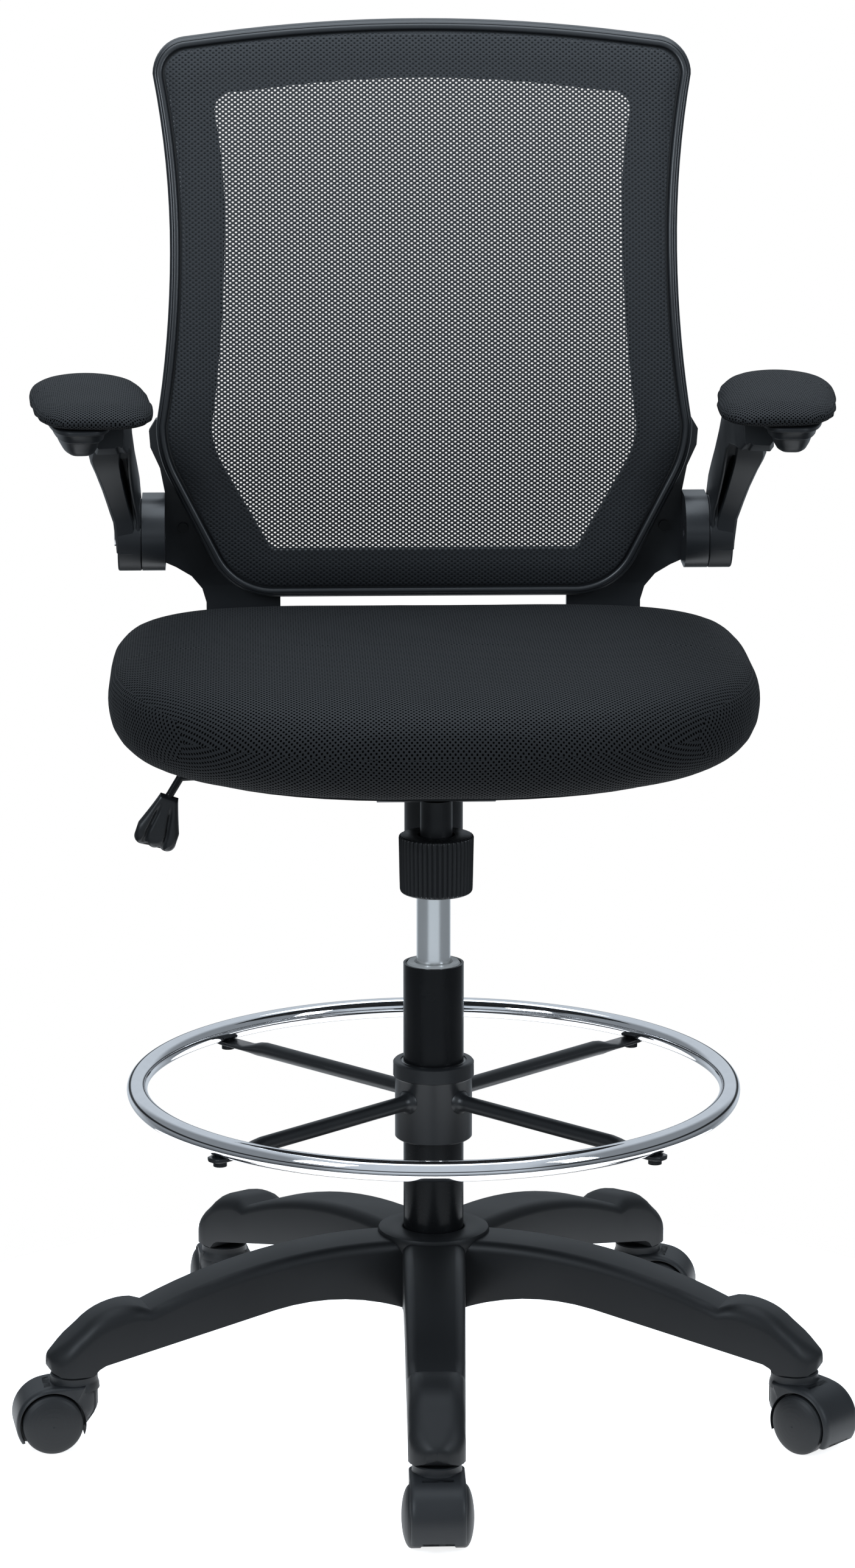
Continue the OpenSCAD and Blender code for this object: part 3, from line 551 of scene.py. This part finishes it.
# ---------------------------------------------------------------- foot ring
RING_R = 245.5
RING_TUBE = 8.5
RING_Z = 279.0
RING_TURN = -0.9
RING_HUB_R = 32.0
RING_HUB_LOW = 235.0
RING_HUB_TOP = 301.0
SPOKE_R = 6.5
SPOKE_Z = 270.0
TAB_TOP = RING_Z - RING_TUBE - 0.05
TAB_T = 4.0
CLAMP_Z = 252.0


def foot_ring():
    tube = arc(RING_R, RING_Z, RING_TUBE, 0, 360, 40)[:-1]
    stand_for(Shape().revolve(tube, 200).build("ring_tube", 60), "foot_ring")


def ring_hub():
    """A clamped hub with four round spokes, which flatten into tabs under the ring."""
    shape = Shape()
    bore = 27.45
    shape.revolve([
        (bore, RING_HUB_LOW), (31, RING_HUB_LOW), (RING_HUB_R, RING_HUB_LOW + 1),
        (RING_HUB_R, RING_HUB_TOP - 14.5), (RING_HUB_R + 0.4, RING_HUB_TOP - 13.4),
        (RING_HUB_R + 1.5, RING_HUB_TOP - 12.8),
        (RING_HUB_R + 1.5, RING_HUB_TOP - 1.6), (RING_HUB_R + 0.4, RING_HUB_TOP - 0.3),
        (RING_HUB_R - 1, RING_HUB_TOP), (bore, RING_HUB_TOP)
    ], 72)
    # (distance, half width, half height, height of the middle, squareness)
    stations = [
        (29, 10.5, 10.5, SPOKE_Z, 1.0), (31.6, 10.2, 10.2, SPOKE_Z, 1.0), (33.5, 8.4, 8.4, SPOKE_Z, 1.0),
        (36, 7.0, 7.0, SPOKE_Z, 1.0), (40, SPOKE_R, SPOKE_R, SPOKE_Z, 1.0),
        (120, SPOKE_R, SPOKE_R, SPOKE_Z, 1.0), (198, SPOKE_R, SPOKE_R, SPOKE_Z, 1.0),
        (206, 6.9, 5.8, SPOKE_Z - 0.6, 0.9),
        (214, 8.0, 3.6, TAB_TOP - TAB_T / 2 + 0.4, 0.7), (221, 9.0, TAB_T / 2, TAB_TOP - TAB_T / 2, 0.5),
        (247, 9.0, TAB_T / 2, TAB_TOP - TAB_T / 2, 0.5), (252, 7.6, TAB_T / 2, TAB_TOP - TAB_T / 2, 0.5),
        (254.5, 4.5, TAB_T / 2 - 0.3, TAB_TOP - TAB_T / 2, 0.6)
    ]
    for k in range(4):
        rings = []
        for s, half_w, half_h, z, square in stations:
            ring = []
            for i in range(24):
                a = 2 * math.pi * i / 24
                c, d = math.cos(a), math.sin(a)
                ring.append((s, half_w * bent(c, square), z + half_h * bent(d, square)))
            rings.append(ring)
        shape.loft(rings, spin(RING_TURN + 45 + 90 * k))
    boss = Matrix.Translation((0, 0, CLAMP_Z)) @ Matrix.Rotation(math.radians(-90), 4, "X")
    shape.revolve([(4.1, 28), (9, 28), (9, 38), (8, 39), (4.1, 39)], 36, boss)
    stand_for(shape.build("ring_spokes", 40), "ring_hub")


# ---------------------------------------------------------------- controls
KNOB_R = 30.5
KNOB_LOW = 459.0
KNOB_TOP = 507.0
KNOB_Y = -62.0
KNOB_FLOOR = 475.0
BOLT_R = 4.0
BOLT_TOP = 554.0


def tension_knob():
    """A ribbed knob, a little narrower below, with its bolt moulded in."""
    ribs, rib_depth = 48, 1.1
    plain_r = 29.0

    def ribbed(r, turn):
        if r < plain_r:
            return r
        return r - rib_depth * abs(math.sin(turn * ribs / 2)) ** 0.7

    taper = 0.97
    profile = [(0.5, KNOB_LOW)]
    profile += arc(KNOB_R * taper - 3.5, KNOB_LOW + 3.5, 3.5, -90, 0, 5)
    profile += [(KNOB_R * taper + 0.3, KNOB_LOW + 14), (KNOB_R - 0.2, KNOB_TOP - 12), (KNOB_R, KNOB_TOP - 2)]
    profile += [(KNOB_R - 0.5, KNOB_TOP - 0.6), (28.4, KNOB_TOP), (15, KNOB_TOP), (14.5, KNOB_FLOOR)]
    profile += [(BOLT_R, KNOB_FLOOR), (BOLT_R, BOLT_TOP), (0.5, BOLT_TOP)]
    shape = Shape().revolve(profile, ribs * 6, Matrix.Translation((0, KNOB_Y, 0)), ribbed)
    stand_for(shape.build("knob", 50), "tension_knob")


HANDLE_TOP = (-216.0, 0.0, 527.0)
HANDLE_LEAN = 18.5
HANDLE_L = 46.0
HANDLE_T = 5.0
GROOVE = 2.4
LOBE_R = 7.0
LOBE_GAP = 10.5


def rounded(outside, power=2):
    """The quarter-round factor of a thickness that has gone a share of the way past its edge."""
    return math.sqrt(max(1 - outside ** power, 0.0))


def lever_handle():
    """A flat grip that widens to three lobes, with two grooves running up between them."""
    columns, rows = 48, 26
    top_half_w = 7.6
    reach_x = LOBE_GAP + LOBE_R
    front, back = [], []
    for i in range(rows + 1):
        t = i / rows
        half_w = mix(top_half_w, reach_x, min(t * 1.35, 1.0) ** 1.1)
        groove_depth = GROOVE * min(max((t - 0.16) * 5, 0), 1)
        ends = rounded(max(t - 0.84, 0) / 0.16) * rounded(max(0.08 - t, 0) / 0.08)
        front.append([])
        back.append([])
        for j in range(columns + 1):
            u = math.sin((-1 + 2 * j / columns) * math.pi / 2)
            x = half_w * u
            nearest = min(abs(reach_x * u - LOBE_GAP * k) for k in (-1, 0, 1))
            lobe = math.sqrt(max(LOBE_R ** 2 - nearest ** 2, 0.0)) - LOBE_R
            down = (HANDLE_L + lobe) * t
            groove = groove_depth * math.exp(-((abs(x) - 0.46 * half_w) / 1.7) ** 2)
            thick = max((HANDLE_T - groove) * ends * rounded(abs(u), 7), 0.03)
            front[-1].append((x, -thick, -down))
            back[-1].append((x, thick, -down))
    rings = [f + b[::-1] for f, b in zip(front, back)]
    lean = Matrix.Translation(HANDLE_TOP) @ Matrix.Rotation(math.radians(HANDLE_LEAN), 4, "Y")
    shape = Shape().loft(rings, lean)
    stand_for(shape.build("lever_grip", 60), "lever_handle")


# ---------------------------------------------------------------- back
BACK_LOW = 647.0
BACK_TOP = 1132.5
BACK_WAIST = 214.5
WAIST_Z = 950.0
FRAME_DEPTH = 20.0
LUMBAR_Y = 218.0
LUMBAR_Z = 800.0
HIP_Z = 796.0
BACK_CENTRE = (0.0, 890.0)
BACK_POINTS = 440
SHEET_INSET = 11.0


def back_y(z):
    """Distance of the back's front face behind the column at a height."""
    return LUMBAR_Y + (0.0007 if z > LUMBAR_Z else 0.0004) * (z - LUMBAR_Z) ** 2


def half_width(z):
    """Half the width of the back at a height: it flares up and down from its waist."""
    return BACK_WAIST + (0.00072 if z > WAIST_Z else 0.00056) * (z - WAIST_Z) ** 2


def closed(half):
    """A whole outline from its right half."""
    return half + [(-x, z) for x, z in reversed(half[:-1])]


def back_outline(inset):
    """The outline of the back as (across, height), pulled in by an inset."""
    corner, top_corner, sag, taper = 60.0, 30.0, 14.0, 26.0
    shoulder = BACK_TOP - sag - top_corner
    corner_x = half_width(shoulder) - top_corner
    half = arc(128, BACK_LOW + corner, corner - inset, -86, -taper, 10)
    half += arc(half_width(HIP_Z) - 100, HIP_Z, 100 - inset, -taper, 0, 8)
    rise = [mix(HIP_Z, shoulder, i / 16) for i in range(1, 17)]
    half += [(half_width(z) - inset, z) for z in rise]
    half += arc(corner_x, shoulder, top_corner - inset, 8, 80, 8)
    across = [corner_x * (1 - i / 9) for i in range(1, 9)]
    half += [(x, BACK_TOP - inset - sag * (x / corner_x) ** 2) for x in across]
    return closed(half + [(0.0, BACK_TOP - inset)])


def window_outline():
    """The opening in the back frame: narrow at the waist and arched along its top."""
    low, top, corner, arch = BACK_LOW + 42, BACK_TOP - 47.5, 16.0, 15.0
    border, waist_z = 46.5, 974.0

    def width(z):
        return BACK_WAIST - border + (0.0012 if z > waist_z else 0.00039) * (z - waist_z) ** 2

    shoulder = top - arch - corner + 4
    half = arc(126, low + 8, 8, -90, -28, 5)
    half += arc(width(HIP_Z) - 70, HIP_Z, 70, -28, 0, 6)
    half += [(width(z), z) for z in (mix(HIP_Z, shoulder, i / 14) for i in range(1, 15))]
    half += arc(width(shoulder) - corner, shoulder, corner, 20, 75, 6)
    return closed(half + [(x, top - arch * (x / 178) ** 2) for x in (144, 120, 96, 72, 48, 24, 0)])


def on_back(x, z, depth):
    return (x, back_y(z) + depth, z)


def back_frame():
    """Rounded rim, a groove that takes the net's edge, a border behind the net, and the window."""
    angles = even_angles(back_outline(0), BACK_CENTRE, BACK_POINTS)
    window = window_outline()
    # (inset, depth) from the rear of the rim round its front to the border
    rim = [
        (3.0, FRAME_DEPTH), (0.9, 18.8), (0, 16.5), (0, 6), (0.3, 4.2), (1.0, 2.6), (2.0, 1.7), (2.8, 1.5),
        (3.1, 2.1), (3.5, 1.3), (5.0, 1.0), (6.6, 1.3), (7.8, 2.2), (8.3, 3.6), (8.5, 6.0), (10.6, 6.0),
        (SHEET_INSET - 0.2, 2.8), (SHEET_INSET + 2, 2.2)
    ]
    # (distance outside the window, depth) from the border to the rear
    sill = [(2.0, 2.2), (0.6, 2.7), (0.0, 4.0), (0.0, 14.5), (0.8, 16.6), (3.0, 17.6)]
    rings = []
    outlines = {inset: back_outline(inset) for inset, _ in rim}
    for a in angles:
        ring = []
        for inset, depth in rim:
            r = ray_hit(outlines[inset], BACK_CENTRE, a)
            ring.append(on_back(r * math.cos(a), BACK_CENTRE[1] + r * math.sin(a), depth))
        r = ray_hit(window, BACK_CENTRE, a)
        for out, depth in sill:
            ring.append(on_back((r + out) * math.cos(a), BACK_CENTRE[1] + (r + out) * math.sin(a), depth))
        rings.append(ring)
    shape = Shape().loft(rings, looped=True)
    stand_for(shape.build("frame", 60), "back_frame")


def back_net():
    """One sheet of net, stretched over the border with its edge tucked into the groove."""
    edge = back_outline(SHEET_INSET - 1.0)
    angles = even_angles(edge, BACK_CENTRE, 240)
    steps = 22
    points = [on_back(0.0, BACK_CENTRE[1], 0.9)]
    for i in range(1, steps + 1):
        for a in angles:
            r = ray_hit(edge, BACK_CENTRE, a)
            tuck = 3.2 if i == steps else 0.9
            r = r * (i - 0.35) / (steps - 0.35) if i < steps - 1 else r - (2.4 if i == steps - 1 else 0)
            points.append(on_back(r * math.cos(a), BACK_CENTRE[1] + r * math.sin(a), tuck))
    n = len(angles)
    faces = [[0, 1 + j, 1 + (j + 1) % n] for j in range(n)]
    for i in range(steps - 1):
        a, b = 1 + i * n, 1 + (i + 1) * n
        faces += [[a + j, a + (j + 1) % n, b + (j + 1) % n, b + j] for j in range(n)]
    net = stand_for(Shape().add(points, faces).build("net", 80), "back_mesh")


# ---------------------------------------------------------------- arms
PIVOT_Y = 215.0
PIVOT_Z = 705.5
PAD_X = 277.0
PAD_W = 50.0
PAD_L = 120.0
PLATE_TOP = 846.0
PAD_TOE = 5.5
TRAY_W = 25.0
TRAY_OUT = 12.0
KNUCKLE_R = 31.0
ARM_INNER = 240.3
ARM_OUTER = 260.7


def pad_place(side):
    return Matrix.Translation((side * PAD_X, 0, 0)) @ Matrix.Rotation(math.radians(-side * PAD_TOE), 4, "Z")


def pad_ring(inset, z, back=0.0, half_w=PAD_W, count=64):
    """Plan of an arm pad or its tray at a height: blunt at the front and rounder at the rear."""
    w, l = half_w - inset, PAD_L - inset - back / 2
    ring = []
    for i in range(count):
        a = 2 * math.pi * i / count
        c, s = math.cos(a), math.sin(a)
        square = 0.52 if s < 0 else 0.8
        ring.append((w * bent(c, square), back / 2 + l * bent(s, square), z))
    return ring


def arm_tray(name, side):
    """The stepped moulding that the pad sits in."""
    steps = [
        (1.0, PLATE_TOP - 0.4, 8), (0.0, PLATE_TOP - 1.2, 8), (0.0, PLATE_TOP - 3.8, 8),
        (1.0, PLATE_TOP - 4.6, 9),
        (3.4, PLATE_TOP - 5.0, 10), (4.0, PLATE_TOP - 6.0, 11), (4.8, PLATE_TOP - 11, 12),
        (6.4, PLATE_TOP - 12, 14), (7.2, PLATE_TOP - 13, 16), (9.4, PLATE_TOP - 19, 19),
        (11.6, PLATE_TOP - 23, 22), (14.0, PLATE_TOP - 24.8, 25), (17.0, PLATE_TOP - 25.1, 28)
    ]
    place = pad_place(side) @ Matrix.Translation((side * TRAY_OUT, 0, 0))
    shape = Shape().loft([pad_ring(inset, z, back, TRAY_W) for inset, z, back in steps], place)
    obj = stand_for(shape.build(f"{name}_tray", 50), f"arm_{name}_plate")
    bevel(obj, 0.5, 2, 50)


def arm_pad(name, side):
    """A domed pad, which falls away towards its front and rear."""
    profile = [
        (14.0, 0.4), (6.0, 0.6), (2.6, 1.8), (0.8, 4.0), (0.2, 6.4), (1.2, 9.0), (4.0, 12.0), (9.0, 14.8),
        (16.0, 17.2), (24.0, 18.8), (33.0, 19.7), (42.0, 20.0)
    ]
    rings = []
    for inset, up in profile:
        ring = pad_ring(inset, up)
        fall = [1 - (0.36 if y > 0 else 0.14) * abs(y / PAD_L) ** 2 for _, y, _ in ring]
        rings.append([(x, y, PLATE_TOP + z * f) for (x, y, z), f in zip(ring, fall)])
    obj = Shape().loft(rings, pad_place(side)).build(f"{name}_pad", 60)
    soften(obj, 0.005, 0.001)
    stand_for(obj, f"arm_{name}_pad")


def arm_bar(name, side):
    """A curved bar with a broad outer face, an open channel and a thin inner rib."""
    # (y, z) of the middle, half depth, inner and outer x, how open the channel is
    stations = [
        (PIVOT_Y + 2, PIVOT_Z - 9, 31.4, ARM_INNER, ARM_OUTER + 0.8, 0),
        (PIVOT_Y + 1, PIVOT_Z, 31.4, ARM_INNER, ARM_OUTER + 1.2, 0),
        (PIVOT_Y - 4, PIVOT_Z + 22, 29, ARM_INNER + 0.6, 264, 0),
        (PIVOT_Y - 10, PIVOT_Z + 36, 28, 242, 267, 0.5),
        (PIVOT_Y - 17, PIVOT_Z + 46, 27, 243.5, 269, 1), (PIVOT_Y - 28, PIVOT_Z + 60, 26, 245.5, 272.5, 1),
        (PIVOT_Y - 46, PIVOT_Z + 78, 25, 247, 277.5, 1), (PIVOT_Y - 62, PIVOT_Z + 90, 24, 247, 281, 0.5),
        (PIVOT_Y - 78, PIVOT_Z + 99, 23.5, 246.5, 282, 0), (PIVOT_Y - 100, PIVOT_Z + 108, 22, 246, 280, 0),
        (PIVOT_Y - 130, PIVOT_Z + 115, 20, 246, 276, 0), (PIVOT_Y - 180, PIVOT_Z + 120, 18.5, 246, 274.5, 0),
        (PIVOT_Y - 228, PIVOT_Z + 122.5, 17, 246, 274, 0),
        (PIVOT_Y - 243, PIVOT_Z + 125.5, 13, 248.5, 272, 0)
    ]
    rings = []
    for i, (y, z, depth, inner, outer, open_) in enumerate(stations):
        a, b = stations[max(i - 1, 0)], stations[min(i + 1, len(stations) - 1)]
        length = math.hypot(b[0] - a[0], b[1] - a[1])
        # the front of the bar faces forward and down, square to its run
        fy, fz = -(b[1] - a[1]) / length, (b[0] - a[0]) / length
        flange = outer - 0.70 * (outer - inner)
        cut = 13.0 * open_
        section = [
            (outer - 3, -depth), (outer, -depth + 4), (outer, depth - 5), (outer - 4.5, depth),
            (inner + 4.5, depth), (inner, depth - 5), (inner, -depth + 3),
            (inner + 1.0, -depth + 1.2), (inner + 3.0, -depth + 1.2),
            (inner + 4.0, -depth + 2 + cut), (flange - 1.4, -depth + 2 + cut), (flange, -depth + 0.6)
        ]
        rings.append([(side * x, y - fy * d, z - fz * d) for x, d in section])
    shape = Shape().loft(rings)
    disc = Matrix.Translation((0, PIVOT_Y, PIVOT_Z)) @ Matrix.Rotation(math.radians(90), 4, "Y")
    near, far = sorted((side * ARM_INNER, side * ARM_OUTER))
    bore = 10.8
    shape.revolve([
        (bore, near), (KNUCKLE_R - 1, near), (KNUCKLE_R, near + 1),
        (KNUCKLE_R, far - 1), (KNUCKLE_R - 1, far), (bore, far)
    ], 64, disc)
    obj = stand_for(shape.build(f"{name}_bar", 40), f"arm_{name}_bar")
    bevel(obj, 1.4, 3, 40)


# ---------------------------------------------------------------- cushion
SEAT_W = 268.0
SEAT_D = 242.0
SEAT_Z = 576.0
SEAT_Y = -8.0


def seat_ring(inset, z, count=96):
    """Plan of the seat at a height: an arched front and a squarer rear."""
    w, d = SEAT_W - inset, SEAT_D - inset
    ring = []
    for i in range(count):
        a = 2 * math.pi * i / count
        c, s = math.cos(a), math.sin(a)
        across, along = (0.42, 0.42) if s > 0 else (0.8, 0.95)
        ring.append((w * bent(c, across), SEAT_Y + d * bent(s, along), z))
    return ring


def seat_cushion():
    profile = [
        (70.0, 0.8), (46.5, 0.8), (43.0, -2.0), (33.0, -4.6), (22.0, -2.6), (13.0, 3.0), (7.0, 11.0),
        (3.2, 20.0), (1.4, 30.0), (1.0, 41.0), (3.0, 51.0), (7.5, 58.5), (15.5, 64.5), (28.0, 68.6),
        (48.0, 71.2), (84.0, 72.8), (140.0, 73.4), (190.0, 73.6)
    ]
    shape = Shape().loft([seat_ring(inset, SEAT_Z + up) for inset, up in profile])
    obj = shape.build("cushion", 60)
    soften(obj, 0.009, 0.0015)
    stand_for(obj, "seat_cushion")


FILLING_PRESSURE = 4.0
CLOTH_FRAMES = 20


def soften(obj, voxel, limit):
    """Evens the mesh out, lets the filling push its cover out as cloth, and caps how far a point moves."""
    bpy.context.view_layer.objects.active = obj
    even = obj.modifiers.new("even", "REMESH")
    even.mode = "VOXEL"
    even.voxel_size = voxel
    bpy.ops.object.modifier_apply(modifier=even.name)
    cloth = obj.modifiers.new("cover", "CLOTH")
    cloth.settings.quality = 5
    cloth.settings.mass = 0.3
    cloth.settings.use_pressure = True
    cloth.settings.uniform_pressure_force = FILLING_PRESSURE
    cloth.settings.effector_weights.gravity = 0.0
    cloth.point_cache.frame_end = CLOTH_FRAMES
    for number in range(1, CLOTH_FRAMES + 1):
        bpy.context.scene.frame_set(number)
    filled = obj.evaluated_get(bpy.context.evaluated_depsgraph_get())
    moved = [v.co.copy() for v in filled.data.vertices]
    obj.modifiers.remove(cloth)
    for vertex, target in zip(obj.data.vertices, moved):
        step = target - vertex.co
        if step.length > limit:
            step = step.normalized() * limit
        vertex.co = vertex.co + step
    bpy.context.scene.frame_set(1)
    obj.data.shade_smooth()
    subdivide(obj)


# ---------------------------------------------------------------- CAD nodes that stay in view
# Width in millimetres and segments of the rounding, where it is not the usual
USUAL_EDGE = (0.5, 2)
EDGES = {
    "back_bracket_left": (2.4, 3), "back_bracket_right": (2.4, 3), "tilt_housing": (1.0, 2),
    "tilt_plate": (1.0, 2), "ring_bush": (0.3, 1), "lever_rod": (0.0, 1), "tension_spring": (0.0, 1)
}


def dress_cad_nodes():
    """Every CAD node that stays in view takes its slot's material and softly rounded edges."""
    for name, obj in frame["nodes"].items():
        if obj.hide_render:
            continue
        if not obj.material_slots:
            obj.data.materials.append(None)
        for slot in obj.material_slots:
            slot.link = "OBJECT"
            slot.material = MATERIALS[SLOTS[name]]
        width, segments = EDGES.get(name, USUAL_EDGE)
        if width:
            bevel(obj, width, segments)


# ---------------------------------------------------------------- studio
# In metres and watts; the directions in room_strength are parts of a unit vector
FLOOR_R = 0.55
ROOM_LIGHT = 0.62
ROOM_DARK = 0.25
DAYLIGHT = (0.90, 1.0, 1.10, 1)


def stage_floor():
    """A lit white disc under the chair."""
    rim = [(x, y, 0) for x, y in arc(0, 0, FLOOR_R, 0, 357, 119)]
    mesh = bpy.data.meshes.new("floor")
    mesh.from_pydata(rim, [], [list(range(len(rim)))])
    floor = bpy.data.objects.new("floor", mesh)
    bpy.context.scene.collection.objects.link(floor)
    n = Nodes("floor_paper")
    n.link(n.colours(n.noise(3.0), (0.93, 0.93, 0.93), (0.95, 0.95, 0.95)), n.shader.inputs["Base Color"])
    n.set(Roughness=0.9, Specular_IOR_Level=0.1, Emission_Color=(1, 1, 1, 1), Emission_Strength=0.8)
    floor.data.materials.append(n.material)


def softbox(name, place, aim, width, height, watts):
    light = bpy.data.lights.new(name, "AREA")
    light.shape = "RECTANGLE"
    light.size = width
    light.size_y = height
    light.energy = watts
    light.color = DAYLIGHT[:3]
    obj = bpy.data.objects.new(name, light)
    bpy.context.scene.collection.objects.link(obj)
    obj.location = place
    obj.rotation_euler = (Vector(aim) - Vector(place)).to_track_quat("-Z", "Y").to_euler()


def world_math(tree, operation, a, b=0):
    node = tree.nodes.new("ShaderNodeMath")
    node.operation = operation
    for socket, value in zip(node.inputs, (a, b)):
        if isinstance(value, (int, float)):
            socket.default_value = value
        else:
            tree.links.new(value, socket)
    return node.outputs[0]


def world_ramp(tree, value, start, end, low, high, kind="LINEAR"):
    """Low up to the start, high from the end on, and a blend between."""
    node = tree.nodes.new("ShaderNodeMapRange")
    node.interpolation_type = kind
    node.inputs["From Min"].default_value = start
    node.inputs["From Max"].default_value = end
    node.inputs["To Min"].default_value = low
    node.inputs["To Max"].default_value = high
    tree.links.new(value, node.inputs["Value"])
    return node.outputs["Result"]


def room_strength(tree):
    """How bright the room is in a direction: dimmer at the sides, near the floor and at the horizon."""
    direction = tree.nodes.new("ShaderNodeSeparateXYZ")
    tree.links.new(tree.nodes.new("ShaderNodeTexCoord").outputs["Generated"], direction.inputs[0])
    x, _, z = direction.outputs
    sides = world_math(tree, "ABSOLUTE", x)
    sides = world_ramp(tree, sides, 0.45, 0.75, ROOM_LIGHT, ROOM_DARK, "SMOOTHSTEP")
    below = world_ramp(tree, z, -0.6, -0.25, 0.15, 1.0)
    horizon = world_ramp(tree, world_math(tree, "ABSOLUTE", z), 0.06, 0.13, 0.08, 1.0)
    return world_math(tree, "MULTIPLY", world_math(tree, "MULTIPLY", sides, below), horizon)


def studio():
    """White behind the chair as the camera sees it, a dimmer room round it, and three soft boxes."""
    world = bpy.data.worlds.new("studio")
    bpy.context.scene.world = world
    world.use_nodes = True
    tree = world.node_tree
    room = tree.nodes["Background"]
    room.inputs["Color"].default_value = DAYLIGHT
    tree.links.new(room_strength(tree), room.inputs["Strength"])
    paper = tree.nodes.new("ShaderNodeBackground")
    paper.inputs["Color"].default_value = (1, 1, 1, 1)
    rays = tree.nodes.new("ShaderNodeLightPath")
    choice = tree.nodes.new("ShaderNodeMixShader")
    tree.links.new(rays.outputs["Is Camera Ray"], choice.inputs[0])
    tree.links.new(room.outputs[0], choice.inputs[1])
    tree.links.new(paper.outputs[0], choice.inputs[2])
    tree.links.new(choice.outputs[0], tree.nodes["World Output"].inputs["Surface"])
    softbox("top", (0, 0.3, 3.2), (0, 0, 0), 2.6, 2.6, 50)
    softbox("key", (-2.4, -2.4, 2.4), (0, 0, 0.6), 1.2, 1.8, 60)
    softbox("fill", (2.6, -2.0, 1.9), (0, 0, 0.6), 0.8, 1.8, 34)
    stage_floor()
    bpy.context.scene.view_settings.view_transform = "Standard"


CAMERA_PLACE = (-0.1485, -4.252, 1.5037)
CAMERA_DOWN = 12.83
CAMERA_TURN = -1.933
CAMERA_LENS = 122.3


def camera():
    """A long lens in front of the chair, a little to its right and above it."""
    data = bpy.data.cameras.new("camera")
    data.lens = CAMERA_LENS
    data.sensor_width = 36.0
    cam = bpy.data.objects.new("camera", data)
    bpy.context.scene.collection.objects.link(cam)
    cam.location = CAMERA_PLACE
    cam.rotation_euler = (math.radians(90 - CAMERA_DOWN), 0, math.radians(CAMERA_TURN))
    bpy.context.scene.camera = cam


# ---------------------------------------------------------------- the chair
star_base()
for caster in CASTERS:
    caster_hood(caster)
foot_ring()
ring_hub()
tension_knob()
lever_handle()
back_frame()
back_net()
seat_cushion()
for arm_name, arm_side in SIDES:
    arm_bar(arm_name, arm_side)
    arm_tray(arm_name, arm_side)
    arm_pad(arm_name, arm_side)
camera()
studio()
dress_cad_nodes()
